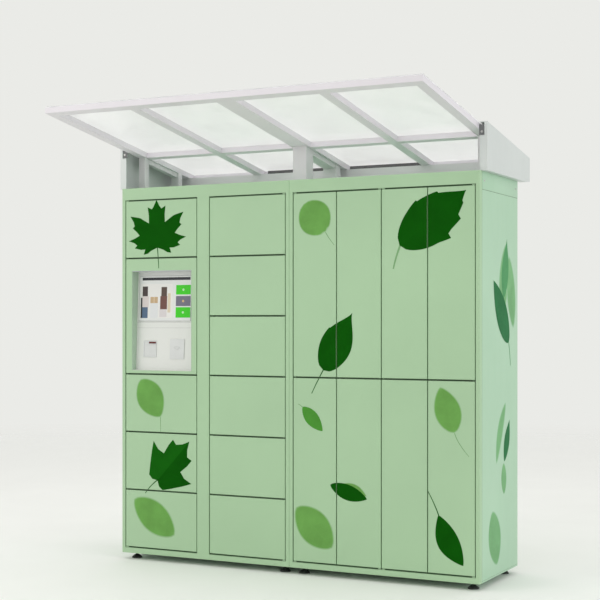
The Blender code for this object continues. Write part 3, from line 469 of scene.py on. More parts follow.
def bridge(bm, rings, closed=True):
    """Joins each ring of points to the next with quads."""
    for ring, following in zip(rings, rings[1:]):
        pairs = list(zip(ring, following))
        for (a, b), (c, d) in zip(pairs, pairs[1:] + pairs[:1] if closed else pairs[1:]):
            bm.faces.new((a, c, d, b))


LOBES = 6
LOBE_REACH = 0.18


def turned(bm, profile, place, sides):
    """A closed turned shape from (radius, height) pairs. A radius below zero is a star socket's."""
    part = bmesh.new()
    rings = []
    for radius, height in profile:
        ring = []
        for step in range(sides):
            turn = 2 * math.pi * step / sides
            reach = radius if radius > 0 else -radius * (1 + LOBE_REACH * math.cos(LOBES * turn))
            ring.append(part.verts.new((reach * math.cos(turn), reach * math.sin(turn), height)))
        rings.append(ring)
    bridge(part, rings)
    part.faces.new(rings[0][::-1])
    part.faces.new(rings[-1])
    bmesh.ops.transform(part, matrix=place, verts=part.verts)
    join(bm, part)


def facing(point, normal):
    """A placement whose Z axis points along the normal."""
    return Matrix.Translation(point) @ Vector(normal).to_track_quat("Z", "Y").to_matrix().to_4x4()


def screw(bm, point, normal, radius, washer=0.0):
    """A dome-headed screw with a star socket, sitting on the surface."""
    rise = radius * 0.55
    profile = [
        (radius, -0.0004), (radius, rise * 0.25), (radius * 0.93, rise * 0.55),
        (radius * 0.72, rise * 0.88), (radius * 0.50, rise), (-radius * 0.42, rise),
        (-radius * 0.38, rise * 0.35),
    ]
    seat = Vector(point)
    if washer:
        ring = [(washer, -0.0004), (washer, 0.0008), (washer * 0.96, 0.0011), (radius * 0.8, 0.0011)]
        turned(bm, ring, facing(point, normal), 24)
        seat += Vector(normal) * 0.0011
    turned(bm, profile, facing(seat, normal), 24)


def hex_bolt(bm, point, normal, across, washer):
    """A hexagon head on a washer."""
    ring = [(washer, -0.0004), (washer, 0.0012), (washer * 0.96, 0.0016), (0.004, 0.0016)]
    turned(bm, ring, facing(point, normal), 28)
    corner = across / math.sqrt(3)
    head = [(corner, -0.0003), (corner, 0.0042), (corner * 0.93, 0.0052), (corner * 0.5, 0.0053)]
    turned(bm, head, facing(Vector(point) + Vector(normal) * 0.0016, normal), 6)


def swept(bm, points, section):
    """Carries a closed section of (side, up) pairs along points, held square to the path."""
    points = [Vector(point) for point in points]
    rings = []
    for index, point in enumerate(points):
        ahead = points[min(index + 1, len(points) - 1)] - points[max(index - 1, 0)]
        ahead.normalize()
        up = Vector((0, 0, 1)) if abs(ahead.z) < 0.9 else Vector((0, 1, 0))
        side = ahead.cross(up).normalized()
        up = side.cross(ahead)
        rings.append([bm.verts.new(point + side * a + up * b) for a, b in section])
    bridge(bm, rings)
    bm.faces.new(rings[0][::-1])
    bm.faces.new(rings[-1])


def border(bm, low, high, width, butt, depths, radius, segments=2):
    """Four bars round a rectangle in the (X, Z) plane. The uprights stand this far inside its ends."""
    (low_x, low_z), (high_x, high_z) = low, high
    for a, b in (
        ((low_x, low_z), (high_x, low_z + width)),
        ((low_x, high_z - width), (high_x, high_z)),
        ((low_x, low_z + butt), (low_x + width, high_z - butt)),
        ((high_x - width, low_z + butt), (high_x, high_z - butt)),
    ):
        slab(bm, (a[0], depths[0], a[1]), (b[0], depths[1], b[1]), radius, segments)


# Printed leaves


def half_width(share, belly, base_round, tip_round):
    """The blade's half width at this share of its length from its base, as a share of its widest."""
    bend = math.log(0.5) / math.log(belly)
    blunt = base_round + (tip_round - base_round) * share
    return math.sin(math.pi * min(1.0, max(0.0, share)) ** bend) ** blunt if 0 < share < 1 else 0.0


BLADE_STEPS = 30
TOOTH_RUN = 0.16


def tooth(share, teeth):
    """How far the saw-toothed edge stands out here. Each tooth grows towards its point and then ends."""
    for point, size in teeth:
        if point - TOOTH_RUN < share <= point:
            return size * ((share - point + TOOTH_RUN) / TOOTH_RUN) ** 1.3
    return 0.0


def ovate(width, belly=0.42, base_round=0.8, tip_round=1.1, bow=0.0, teeth=((), ())):
    """An undivided leaf's outline in lengths of the leaf: up its left edge and back down its right."""
    edges = []
    for side, saw in zip((1, -1), teeth):
        shares = {round(step / BLADE_STEPS, 4) for step in range(1, BLADE_STEPS)}
        for point, _ in saw:
            shares = {share for share in shares if not point - 0.012 < share < point + 0.02}
            shares |= {point, round(point + 0.006, 4)}
        edge = []
        for share in sorted(shares):
            half = half_width(share, belly, base_round, tip_round) * width / 2 + tooth(share, saw)
            edge.append((share, side * half + bow * math.sin(math.pi * share)))
        edges.append(edge)
    return [(0.0, 0.0), *edges[0], (1.0, 0.0), *edges[1][::-1]]


# Along the leaf and out from its rib, in lengths of the leaf, from its tip to its stem
MAPLE_HALF = (
    (0.870, 0.070), (0.810, 0.118), (0.861, 0.221), (0.690, 0.196), (0.520, 0.197), (0.580, 0.300),
    (0.640, 0.400), (0.660, 0.460), (0.700, 0.655), (0.575, 0.578), (0.485, 0.555), (0.444, 0.600),
    (0.360, 0.505), (0.280, 0.435), (0.225, 0.560), (0.181, 0.705), (0.130, 0.570), (0.078, 0.500),
    (0.020, 0.560), (-0.022, 0.400), (-0.018, 0.300), (-0.128, 0.340), (-0.110, 0.240), (-0.054, 0.150),
)

IVY_HALF = (
    (0.86, 0.07), (0.76, 0.16), (0.78, 0.27), (0.64, 0.27), (0.46, 0.24), (0.43, 0.38), (0.47, 0.55),
    (0.32, 0.46), (0.10, 0.31), (-0.05, 0.20), (-0.06, 0.10),
)


def lobed_blade(half_outline, lean):
    """A lobed leaf's outline. By its lean, its right half reaches further forward than its left."""
    left = [(along - lean * out, out) for along, out in half_outline]
    right = [(along + lean * out, -out) for along, out in half_outline]
    return [(1.0, 0.0), *right, (0.0, 0.0), *left[::-1]]


def half_blade(half_outline, side):
    """One half of a lobed leaf, up to its rib: +1 is its left, -1 its right."""
    return [(1.0, 0.0), *((along, side * out) for along, out in half_outline), (0.0, 0.0)]


def edge_distance(spot, outline):
    """How far the spot is from the outline, and whether it lies within it."""
    inside = False
    nearest = 1.0
    for start, end in zip(outline, outline[1:] + outline[:1]):
        foot, share = intersect_point_line(spot, start, end)
        foot = Vector(foot[:2]) if 0 <= share <= 1 else Vector(start if share < 0 else end)
        nearest = min(nearest, (Vector(spot) - foot).length)
        if (start[1] > spot[1]) != (end[1] > spot[1]):
            crossing = start[0] + (spot[1] - start[1]) / (end[1] - start[1]) * (end[0] - start[0])
            inside ^= spot[0] < crossing
    return nearest, inside


# How far a soft print's fade reaches inwards, and the spacing of its mesh, in lengths of the leaf
SOFT_EDGE = 0.035
MESH_PITCH = 0.075


def leaf_mesh(outline, base, tip):
    """A flat leaf in the (across, up) plane of a face, meshed evenly so that its coordinates run smoothly.

    Each point keeps where it is on the leaf: along it, across it, and inwards from its edge.
    """
    base, tip = Vector(base), Vector(tip)
    length = (tip - base).length
    ahead = (tip - base) / length
    side = Vector((-ahead.y, ahead.x))
    spots = [Vector(point) for point in outline]
    inwards = [0.0] * len(spots)
    low = [min(point[axis] for point in outline) for axis in (0, 1)]
    high = [max(point[axis] for point in outline) for axis in (0, 1)]
    counts = [int((high[axis] - low[axis]) / MESH_PITCH) + 1 for axis in (0, 1)]
    for column in range(counts[0] + 1):
        for row in range(counts[1] + 1):
            shift = MESH_PITCH / 2 * (column % 2)
            spot = (low[0] + column * MESH_PITCH, low[1] + row * MESH_PITCH + shift)
            distance, inside = edge_distance(spot, outline)
            if inside and distance > MESH_PITCH * 0.4:
                spots.append(Vector(spot))
                inwards.append(min(1.0, distance / SOFT_EDGE))
    ring = list(range(len(outline)))
    for before, spot, after in zip(outline[-1:] + outline[:-1], outline, outline[1:] + outline[:1]):
        along = (Vector(after) - Vector(before)).normalized()
        for turn in (1, -1):
            inner = Vector(spot) + Vector((-along.y, along.x)) * SOFT_EDGE * turn
            distance, inside = edge_distance(inner, outline)
            if inside and distance > SOFT_EDGE * 0.6:
                spots.append(inner)
                inwards.append(min(1.0, distance / SOFT_EDGE))
    made, _, faces, sources, _, _ = delaunay_2d_cdt(spots, [], [ring], 1, 1e-6)
    bm = bmesh.new()
    layer = bm.verts.layers.float_vector.new("leaf")
    verts = []
    for point, source in zip(made, sources):
        vert = bm.verts.new((*(base + (ahead * point.x + side * point.y) * length), 0.0))
        vert[layer] = (point.x, point.y * 2.0, max((inwards[index] for index in source), default=0.0))
        verts.append(vert)
    for face in faces:
        bm.faces.new([verts[index] for index in face])
    return bm


def stem_mesh(points, width):
    """A stem along its points, a little thinner towards its end."""
    bm = bmesh.new()
    layer = bm.verts.layers.float_vector.new("leaf")
    points = [Vector(point) for point in points]
    rows = []
    for index, point in enumerate(points):
        ahead = points[min(index + 1, len(points) - 1)] - points[max(index - 1, 0)]
        side = Vector((-ahead.y, ahead.x)).normalized()
        half = width / 2 * (1 - 0.35 * index / (len(points) - 1))
        row = []
        for across in (-1, 0, 1):
            made = bm.verts.new((*(point + side * half * across), 0.0))
            made[layer] = (0.5, 0.5, 1.0)
            row.append(made)
        rows.append(row)
    bridge(bm, rows, closed=False)
    return bm


def bent(points):
    """Smooths a stem's three points into a gentle curve, and two into a line."""
    points = [Vector(point) for point in points]
    if len(points) == 2:
        return [points[0].lerp(points[1], step / 4) for step in range(5)]
    first, middle, last = points
    curve = []
    for step in range(9):
        share = step / 8
        curve.append(first.lerp(middle, share).lerp(middle.lerp(last, share), share))
    return curve


# The film's thickness, how far its underside sinks into the paint, and how far it stays off an edge
FILM = 0.00018
SUNK = 0.0001
EDGE_CLEAR = 0.0003
FILLET_STEPS = (0.0005, 0.0010, 0.0017, 0.0025)


def fillet_drop(across, up, face):
    """How far a door's rounded edge falls back at this place on its face."""
    low_x, high_x, low_z, high_z = face
    reach = [
        max(0.0, EDGE_RADIUS - min(across - low_x, high_x - across)),
        max(0.0, EDGE_RADIUS - min(up - low_z, high_z - up)),
    ]
    return EDGE_RADIUS - math.sqrt(max(0.0, EDGE_RADIUS**2 - reach[0] ** 2 - reach[1] ** 2))


def print_on(name, bm, face, to_world, material, body, layer, rounded):
    """Clips the flat print to the face, gives it the film's thickness, and fixes it to the body.

    On a rounded face the film follows the edges' fillets, so that it ends at the gap.
    """
    low_x, high_x, low_z, high_z = face
    part = bm.copy()
    for step in (EDGE_CLEAR, *(FILLET_STEPS if rounded else ())):
        for point, normal in (
            ((low_x + step, 0, 0), (-1, 0, 0)), ((high_x - step, 0, 0), (1, 0, 0)),
            ((0, low_z + step, 0), (0, -1, 0)), ((0, high_z - step, 0), (0, 1, 0)),
        ):
            bmesh.ops.bisect_plane(
                part, geom=part.verts[:] + part.edges[:] + part.faces[:], plane_co=point, plane_no=normal,
                clear_outer=step == EDGE_CLEAR, dist=1e-6,
            )
    if part.faces:
        for vert in part.verts:
            drop = fillet_drop(vert.co.x, vert.co.y, face) if rounded else 0.0
            vert.co.z = FILM * (layer - 1) - SUNK - drop
        raised = bmesh.ops.extrude_face_region(part, geom=part.faces[:])["geom"]
        for item in raised:
            if isinstance(item, bmesh.types.BMVert):
                item.co.z += FILM + SUNK
        bmesh.ops.transform(part, matrix=to_world, verts=part.verts)
        finished(name, part, material, body, smooth=False)
    else:
        part.free()


# A door's face looks along -Y, the right side along +X, the left side along -X.
FRONT = Matrix(((1, 0, 0, 0), (0, 0, -1, 0), (0, 1, 0, 0), (0, 0, 0, 1)))
RIGHT_SIDE = Matrix(((0, 0, 1, CABINET_WIDTH), (1, 0, 0, 0), (0, 1, 0, 0), (0, 0, 0, 1)))
LEFT_SIDE = Matrix(((0, 0, -1, -CABINET_WIDTH), (1, 0, 0, 0), (0, 1, 0, 0), (0, 0, 0, 1)))

PRINTS = {
    "dark": leaf_print("leaf_dark", (0.0038, 0.080, 0.0022), 0.10),
    "deep": leaf_print("leaf_deep", (0.0070, 0.105, 0.0045), 0.10),
    "light": leaf_print("leaf_light", (0.150, 0.350, 0.085), 0.05, GREEN),
    "mid": leaf_print("leaf_mid", (0.075, 0.280, 0.040), 0.10),
    "dark_stem": leaf_print("stem_dark", (0.022, 0.110, 0.020), 0.0),
    "pale_stem": leaf_print("stem_pale", (0.195, 0.360, 0.175), 0.0),
    # Painted light: the side prints' tones are lighter and bluer for the light that falls on the sides from
    # the right
    "side_dark": leaf_print("leaf_side_dark", (0.030, 0.165, 0.060), 0.10),
    "side_mid": leaf_print("leaf_side_mid", (0.090, 0.290, 0.120), 0.08),
    "side_light": leaf_print("leaf_side_light", (0.200, 0.420, 0.200), 0.04, SIDE_GREEN_LIT),
}


def egg(width, **shape):
    """The outline of a blunt leaf."""
    return ovate(width, **{"belly": 0.5, "base_round": 0.62, "tip_round": 0.62, **shape})


# Each print: name, tone, layer, outline, base and tip on the face, then its stem's tone, width and points
FRONT_LEAVES = (
    (
        "maple", "dark", 1, lobed_blade(MAPLE_HALF, 0.02), (-0.806, 1.706), (-0.812, 1.966),
        ("dark_stem", 0.006, ((-0.806, 1.712), (-0.800, 1.650), (-0.797, 1.593))),
    ),
    (
        "birch_a", "light", 1, egg(0.72, belly=0.52), (-0.784, 0.786), (-0.916, 0.990),
        ("pale_stem", 0.004, ((-0.786, 0.790), (-0.786, 0.750), (-0.785, 0.706))),
    ),
    ("ivy_left", "deep", 1, half_blade(IVY_HALF, 1), (-0.805, 0.442), (-0.603, 0.660), None),
    (
        "ivy_right", "dark", 1, half_blade(IVY_HALF, -1), (-0.805, 0.442), (-0.603, 0.660),
        ("dark_stem", 0.006, ((-0.800, 0.447), (-0.850, 0.415), (-0.884, 0.368))),
    ),
    ("poplar_a", "light", 1, egg(0.55), (-0.958, 0.334), (-0.694, 0.150), None),
    (
        "aspen", "light", 1, egg(0.97, base_round=0.5, tip_round=0.5), (0.212, 1.762), (0.082, 1.908),
        ("pale_stem", 0.004, ((0.205, 1.766), (0.226, 1.728), (0.258, 1.693))),
    ),
    (
        "hornbeam", "dark", 1,
        ovate(
            0.54, belly=0.44, base_round=0.66, tip_round=1.15,
            teeth=(((0.46, 0.018), (0.72, 0.022)), ((0.54, 0.060), (0.76, 0.056), (0.89, 0.024))),
        ),
        (0.617, 1.682), (0.966, 1.942),
        ("pale_stem", 0.011, ((0.624, 1.690), (0.598, 1.632), (0.583, 1.566))),
    ),
    (
        "cherry", "dark", 1,
        ovate(0.52, belly=0.42, base_round=0.60, tip_round=1.35, teeth=(((0.62, 0.014),), ())),
        (0.196, 1.056), (0.359, 1.348),
        ("dark_stem", 0.006, ((0.200, 1.064), (0.162, 1.000), (0.130, 0.936))),
    ),
    (
        "privet", "mid", 1, ovate(0.45, belly=0.46, base_round=0.8, tip_round=0.8), (0.078, 0.866),
        (0.192, 0.745), ("pale_stem", 0.004, ((0.082, 0.862), (0.066, 0.874), (0.051, 0.881))),
    ),
    (
        "birch_f", "light", 1, ovate(0.60, belly=0.46, base_round=0.66, tip_round=0.70), (0.907, 0.760),
        (0.830, 0.985), ("pale_stem", 0.004, ((0.905, 0.766), (0.915, 0.720), (0.980, 0.650))),
    ),
    (
        "willow_behind", "light", 1, ovate(0.40, belly=0.5, base_round=0.8, tip_round=0.9), (0.300, 0.483),
        (0.440, 0.426), None,
    ),
    (
        "willow", "dark", 2, ovate(0.37, belly=0.48, base_round=0.7, tip_round=0.8, bow=-0.02),
        (0.236, 0.474), (0.440, 0.412), None,
    ),
    ("poplar_c", "light", 1, egg(0.64), (0.040, 0.350), (0.248, 0.152), None),
    (
        "beech", "dark", 1, ovate(0.42, belly=0.5, base_round=0.85, tip_round=0.85, bow=-0.06),
        (0.822, 0.357), (0.951, 0.118),
        ("dark_stem", 0.006, ((0.826, 0.350), (0.806, 0.405), (0.768, 0.470))),
    ),
)

SIDE_LEAVES = (
    ("side_a_light", "side_light", 1, egg(0.40), (0.330, 1.330), (0.400, 1.700), None),
    ("side_b_light", "side_light", 2, egg(0.37), (0.515, 1.270), (0.440, 1.640), None),
    (
        "side_c_mid", "side_mid", 3, ovate(0.345, belly=0.42, tip_round=1.3), (0.360, 1.425),
        (0.412, 1.725), None,
    ),
    (
        "side_d_dark", "side_dark", 4, ovate(0.405, belly=0.44, base_round=0.7, tip_round=0.9),
        (0.440, 1.198), (0.204, 1.508),
        ("side_mid", 0.007, ((0.436, 1.206), (0.462, 1.140), (0.467, 1.079))),
    ),
    ("side_e_light", "side_light", 1, egg(0.255, bow=0.05), (0.246, 0.594), (0.392, 0.895), None),
    (
        "side_f_dark", "side_dark", 2, ovate(0.36, belly=0.46, base_round=0.8), (0.370, 0.596),
        (0.453, 0.803), None,
    ),
    ("side_g_light", "side_light", 1, egg(0.52), (0.366, 0.430), (0.360, 0.590), None),
    ("side_h_mid", "side_light", 1, egg(0.66), (0.258, 0.090), (0.186, 0.366), None),
)


def print_leaf(leaf, faces, to_world, rounded, prefix=""):
    """Prints a leaf and its stem on every face that they cross."""
    name, tone, layer, outline, base, tip, stem = leaf
    prints = []
    if stem:
        stem_tone, width, points = stem
        prints.append((name + "_stem", stem_mesh(bent(points), width), stem_tone, layer))
    prints.append((name, leaf_mesh(outline, base, tip), tone, layer + len(prints)))
    for print_name, bm, print_tone, at in prints:
        for body, (face, ride_on) in faces.items():
            label = f"leaf_{prefix}{print_name}_on_{body}"
            print_on(label, bm, face, to_world, PRINTS[print_tone], ride_on, at, rounded)
        bm.free()


def print_leaves():
    doors = {name: (face, name) for name, face in DOOR_FACES.items()}
    for leaf in FRONT_LEAVES:
        print_leaf(leaf, doors, FRONT, True)
    side = (FRAME_DEPTH + 0.001, CABINET_DEPTH, BASE_Z, TOP_Z)
    for leaf in SIDE_LEAVES:
        print_leaf(leaf, {"right_casing": (side, "cabinets")}, RIGHT_SIDE, False)
        print_leaf(leaf, {"left_casing": (side, "cabinets")}, LEFT_SIDE, False, "left_")


print_leaves()

# Control panel: its face leans back, and heights on it are measured from the cabinet's bottom

LEAN = math.atan((RECESS_DEPTH_HIGH - RECESS_DEPTH_LOW) / (RECESS_HIGH - RECESS_LOW))
PANEL = (
    Matrix.Translation((0, RECESS_DEPTH_LOW, BASE_Z + RECESS_LOW))
    @ Matrix.Rotation(-LEAN, 4, "X")
    @ Matrix.Translation((0, 0, -RECESS_LOW))
)
# The touchscreen's face lies this far in front of the panel plane
GLASS = -0.0015
SCREEN = ((-0.957, 1.272), (-0.624, 1.520))


def panel_finished(name, bm, material):
    """Carries a piece built on the upright panel plane onto the leaning one."""
    bmesh.ops.transform(bm, matrix=PANEL, verts=bm.verts)
    finished(name, bm, material, "control_door", smooth=False)


def screen_area(name, low, high, lift, tone, glow=0.10):
    """A thin lit area on the screen's glass, from its low and high (X, height)."""
    bm = bmesh.new()
    slab(bm, (low[0], GLASS - lift, low[1]), (high[0], GLASS + 0.0002, high[1]))
    panel_finished(name, bm, lit_page(name, tone, glow))


def rounded_plate(bm, low, high, corner, front, back):
    """A plate in the (X, Z) plane with round corners."""
    steps = 5
    part = bmesh.new()
    ring = []
    corners = (
        (high[0] - corner, high[1] - corner, 0),
        (low[0] + corner, high[1] - corner, 90),
        (low[0] + corner, low[1] + corner, 180),
        (high[0] - corner, low[1] + corner, 270),
    )
    for x, z, start in corners:
        for step in range(steps + 1):
            turn = math.radians(start + 90 * step / steps)
            ring.append((x + corner * math.cos(turn), z + corner * math.sin(turn)))
    fronts = [part.verts.new((x, front, z)) for x, z in ring]
    backs = [part.verts.new((x, back, z)) for x, z in ring]
    part.faces.new(fronts)
    part.faces.new(backs[::-1])
    bridge(part, [fronts, backs])
    join(bm, part)


# The screen's picture, three stacks of parcels: name, lift, low corner, size and tone of each block
PICTURE = ((-0.949, 1.289), (-0.7425, 1.476))
PICTURE_BLOCKS = (
    ("left_post", 0.0006, (0.002, 0.000), (0.010, 0.112), (0.030, 0.030, 0.036)),
    ("left_crate", 0.0006, (0.012, 0.000), (0.036, 0.060), (0.070, 0.120, 0.200)),
    ("left_box", 0.0006, (0.012, 0.060), (0.042, 0.060), (0.600, 0.540, 0.530)),
    ("left_case", 0.0006, (0.012, 0.120), (0.034, 0.054), (0.045, 0.030, 0.030)),
    ("middle_table", 0.0006, (0.064, 0.000), (0.050, 0.082), (0.640, 0.650, 0.660)),
    ("middle_parcel", 0.0006, (0.064, 0.082), (0.048, 0.034), (0.480, 0.340, 0.200)),
    ("right_plinth", 0.0006, (0.124, 0.006), (0.046, 0.042), (0.600, 0.560, 0.570)),
    ("right_box", 0.0006, (0.128, 0.048), (0.044, 0.072), (0.130, 0.050, 0.040)),
    ("right_case", 0.0006, (0.134, 0.120), (0.036, 0.050), (0.075, 0.045, 0.035)),
    ("right_shelf", 0.0006, (0.176, 0.030), (0.018, 0.105), (0.600, 0.520, 0.390)),
    ("tape", 0.0008, (0.0855, 0.082), (0.005, 0.034), (0.620, 0.500, 0.340)),
)


def build_display():
    """The screen: a page with a title bar, a picture of stacked parcels, and three tiles."""
    edge = Vector((0.002, 0.002))
    low, high = Vector(SCREEN[0]), Vector(SCREEN[1])
    screen_area("display_page", low + edge, high - edge, 0.0002, (0.66, 0.67, 0.66))
    screen_area("display_title_bar", (-0.9395, 1.4960), (-0.631, 1.5115), 0.0004, (0.012, 0.013, 0.020), 0.05)
    screen_area("display_picture", *PICTURE, 0.0004, (0.70, 0.69, 0.67))
    for label, lift, place, size, tone in PICTURE_BLOCKS:
        low = Vector(PICTURE[0]) + Vector(place)
        screen_area(f"picture_{label}", low, low + Vector(size), lift, tone)
    green = lit_page("display_green_tile", (0.030, 0.500, 0.002), 0.14, 0.05)
    violet = lit_page("display_violet_tile", (0.140, 0.135, 0.185), 0.10)
    pale = lit_page("display_mark", (0.45, 0.72, 0.40), 0.1)
    amber = lit_page("display_amber_mark", (0.62, 0.42, 0.18), 0.1)
    disc = [(0.0065, -0.0002), (0.0065, 0.0002), (0.0040, 0.0002), (0.0030, 0.0002)]
    for place, base, top, tile, dot in (
        ("top", 1.4165, 1.4687, green, pale),
        ("middle", 1.3539, 1.4086, violet, amber),
        ("bottom", 1.2911, 1.3477, green, pale),
    ):
        bm = bmesh.new()
        rounded_plate(bm, (-0.7205, base), (-0.6275, top), 0.002, GLASS - 0.0006, GLASS)
        panel_finished(f"display_tile_{place}", bm, tile)
        bm = bmesh.new()
        turned(bm, disc, facing((-0.674, GLASS - 0.0006, (base + top) / 2), (0, -1, 0)), 24)
        panel_finished(f"display_mark_{place}", bm, dot)
    bm = bmesh.new()
    border(bm, *SCREEN, 0.0024, 0.0024, (GLASS - 0.0008, GLASS + 0.0002), 0.0003, 1)
    panel_finished("display_bezel", bm, bezel_grey)


def build_panel_details():
    """The fascia's seams and screws, the scanner's filter and sill, and the card reader's arcs."""
    for number, height in enumerate((1.2650, 1.2355), 1):
        bm = bmesh.new()
        slab(bm, (-0.9675, -0.0003, height - 0.0006), (-0.5930, 0.0002, height + 0.0006))
        panel_finished(f"fascia_seam_{number}", bm, fascia_seam)
    bm = bmesh.new()
    rounded_plate(bm, (-0.886, 1.1495), (-0.8405, 1.1595), 0.002, -0.0040, -0.0008)
    panel_finished("scanner_filter", bm, scan_red)
    bm = bmesh.new()
    sill = [(0.0, 0.0), (0.0020, -0.002), (0.0020, -0.004), (0.0, -0.056)]
    swept(bm, [(-0.9155, -0.0008, 1.1420), (-0.8440, -0.0008, 1.1420)], sill)
    panel_finished("scanner_sill", bm, reader_grey)
    bm = bmesh.new()
    centre = Vector((-0.7049, -0.0041, 1.1065))
    for radius in (0.012, 0.020, 0.028):
        arc = []
        for step in range(13):
            turn = math.radians(-50 + 100 * step / 12)
            arc.append(centre + Vector((math.sin(turn), 0.0, math.cos(turn))) * radius)
        swept(bm, arc, [(-0.0009, 0.0), (0.0, 0.0005), (0.0009, 0.0), (0.0, -0.0004)])
    panel_finished("card_reader_arcs", bm, reader_mark)
    bm = bmesh.new()
    for x in (-0.961, -0.600):
        for height in (1.012, 1.535):
            screw(bm, (x, 0.0, height), (0, -1, 0), 0.0028)
    panel_finished("fascia_screws", bm, steel)


build_display()
build_panel_details()

# Cabinet details

SIDES = ((-1, "left"), (1, "right"))


def build_access_covers():
    """The removable cover near the top of each side, held by two screws, and dark strips in the frame's
    seams: a sealant bead that also stands for the seams' painted shadow line.
    """
    for side, name in SIDES:
        x = side * CABINET_WIDTH
        low_z, high_z = TOP_Z - 0.0885, TOP_Z - 0.0015
        bm = bmesh.new()
        near, far = sorted((x - side * 0.0005, x + side * 0.0009))
        slab(bm, (near, FRAME_DEPTH + 0.0012, low_z), (far, CABINET_DEPTH - 0.0010, high_z), 0.0006)
        finished(f"access_cover_{name}", bm, side_paint)
        bm = bmesh.new()
        for y in (0.064, 0.552):
            screw(bm, (x + side * 0.0009, y, (low_z + high_z) / 2), (side, 0, 0), 0.0060)
        finished(f"access_cover_screws_{name}", bm, steel)
        bm = bmesh.new()
        # Painted shade: dark green strips in the seams, a sealant bead whose colour also stands for the
        # seams' shadow line
        near, far = sorted((x - side * 0.0006, x + side * 0.0001))
        for front, back, base, top in (
            (FRAME_DEPTH - 0.0005, FRAME_DEPTH + 0.0009, BASE_Z + 0.001, TOP_Z - 0.001),
            (FRAME_DEPTH, CABINET_DEPTH - 0.002, low_z - 0.0024, low_z),
            (FRAME_DEPTH, CABINET_DEPTH - 0.002, BASE_Z + 0.0085, BASE_Z + 0.0097),
        ):
            slab(bm, (near, front, base), (far, back, top))
        finished(f"side_seams_{name}", bm, seam_shadow_strip, smooth=False)


def build_bumpers():
    """Rubber buttons on the stops at the lock side of each door."""
    for name, letters, inset, front in (
        ("left", "ab", 0.0045, STOP_FRONT), ("right", "cdef", 0.0105, 0.0240)
    ):
        bm = bmesh.new()
        height = front - LEAF_BACK - 0.0004
        button = [(0.0042, -0.0003), (0.0042, height * 0.5), (0.0036, height * 0.9), (0.0020, height)]
        for letter in letters:
            low, high, pivot, _, _, bays = COLUMNS[letter]
            x = (high if pivot < 0 else low) + pivot * inset
            for first, last in (*bays, *(((3, 5),) if letter == "a" else ())):
                for z in (level(first) + 0.040, level(last) - 0.040):
                    turned(bm, button, facing((x, front, z), (0, -1, 0)), 16)
        finished(f"door_bumpers_{name}", bm, rubber)


def build_door_backs():
    """Each leaf's inner side: a stiffening frame, and the striker's two foot plates with their screws."""
    for letter, (_, _, pivot, post_x, offset, bays) in COLUMNS.items():
        near, far = 0.080 if letter in "ab" else 0.062, 0.034
        for number in range(1, len(bays) + 1):
            name = f"door_{letter}{number}"
            low_x, high_x, low_z, high_z = DOOR_FACES[name]
            ends = (low_x + far, high_x - near) if pivot < 0 else (low_x + near, high_x - far)
            low, high = zip(ends, (low_z + 0.034, high_z - 0.034))
            bm = bmesh.new()
            border(bm, low, high, 0.009, 0.0045, (LEAF_BACK - 0.0003, LEAF_BACK + 0.0012), 0.0007)
            finished(f"{name}_rib", bm, green_paint, name)
            pivot_x = low_x + PIVOT_INSET if pivot < 0 else high_x - PIVOT_INSET
            striker_x = post_x + math.copysign(offset, pivot_x - post_x)
            z = (low_z + high_z) / 2
            front, back = LEAF_BACK - 0.0002, LEAF_BACK + 0.0016
            bm = bmesh.new()
            for x in (striker_x - 0.0075, striker_x + 0.0075):
                slab(bm, (x - 0.0055, front, z - 0.020), (x + 0.0055, back, z + 0.020), 0.0005)
                for end in (-1, 1):
                    screw(bm, (x, back, z + end * 0.0145), (0, 1, 0), 0.0026)
            finished(f"{name}_striker_plates", bm, steel, name)


# Each lock post: its X, the half width and front of its housings, and the bays' heights at its left and right
TALL_LOCKS = (1.5, 4.5)
LOCK_POSTS = {
    "left_lock_post": (
        MULLION_X, 0.038, 0.0355, ((0.5, 1.5, 2.5, 5.5, 4.0), (0.5, 1.5, 2.5, 3.5, 4.5, 5.5))
    ),
    "right_lock_post_1": (0.27, 0.020, 0.0240, (TALL_LOCKS, TALL_LOCKS)),
    "right_lock_post_2": (0.765, 0.020, 0.0240, (TALL_LOCKS, TALL_LOCKS)),
}


def build_locks():
    """Each lock: a plated face in two halves, its screws and a status lens, on the housing's front."""
    dome = [(0.0026, -0.0004), (0.0026, 0.0006), (0.0018, 0.0014), (0.0006, 0.0017)]
    for post, (post_x, half, front, heights) in LOCK_POSTS.items():
        faces, heads, lenses = bmesh.new(), bmesh.new(), bmesh.new()
        y = front + 0.006
        for side, bays in zip((-1, 1), heights):
            low_x, high_x = sorted((post_x + side * (half + 0.0015), post_x + side * (half + 0.0265)))
            middle = (low_x + high_x) / 2
            for z in map(level, bays):
                for base, top in ((z - 0.037, z - 0.0165), (z + 0.0165, z + 0.037)):
                    slab(faces, (low_x, y - 0.0010, base), (high_x, y + 0.0003, top), 0.0004)
                for end in (-1, 1):
                    screw(heads, (middle, y - 0.0010, z + end * 0.0225), (0, -1, 0), 0.0026)
                turned(lenses, dome, facing((middle, y - 0.0010, z + 0.0325), (0, -1, 0)), 16)
        finished(f"{post}_faces", faces, steel)
        finished(f"{post}_screws", heads, steel)
        finished(f"{post}_lenses", lenses, scan_red)


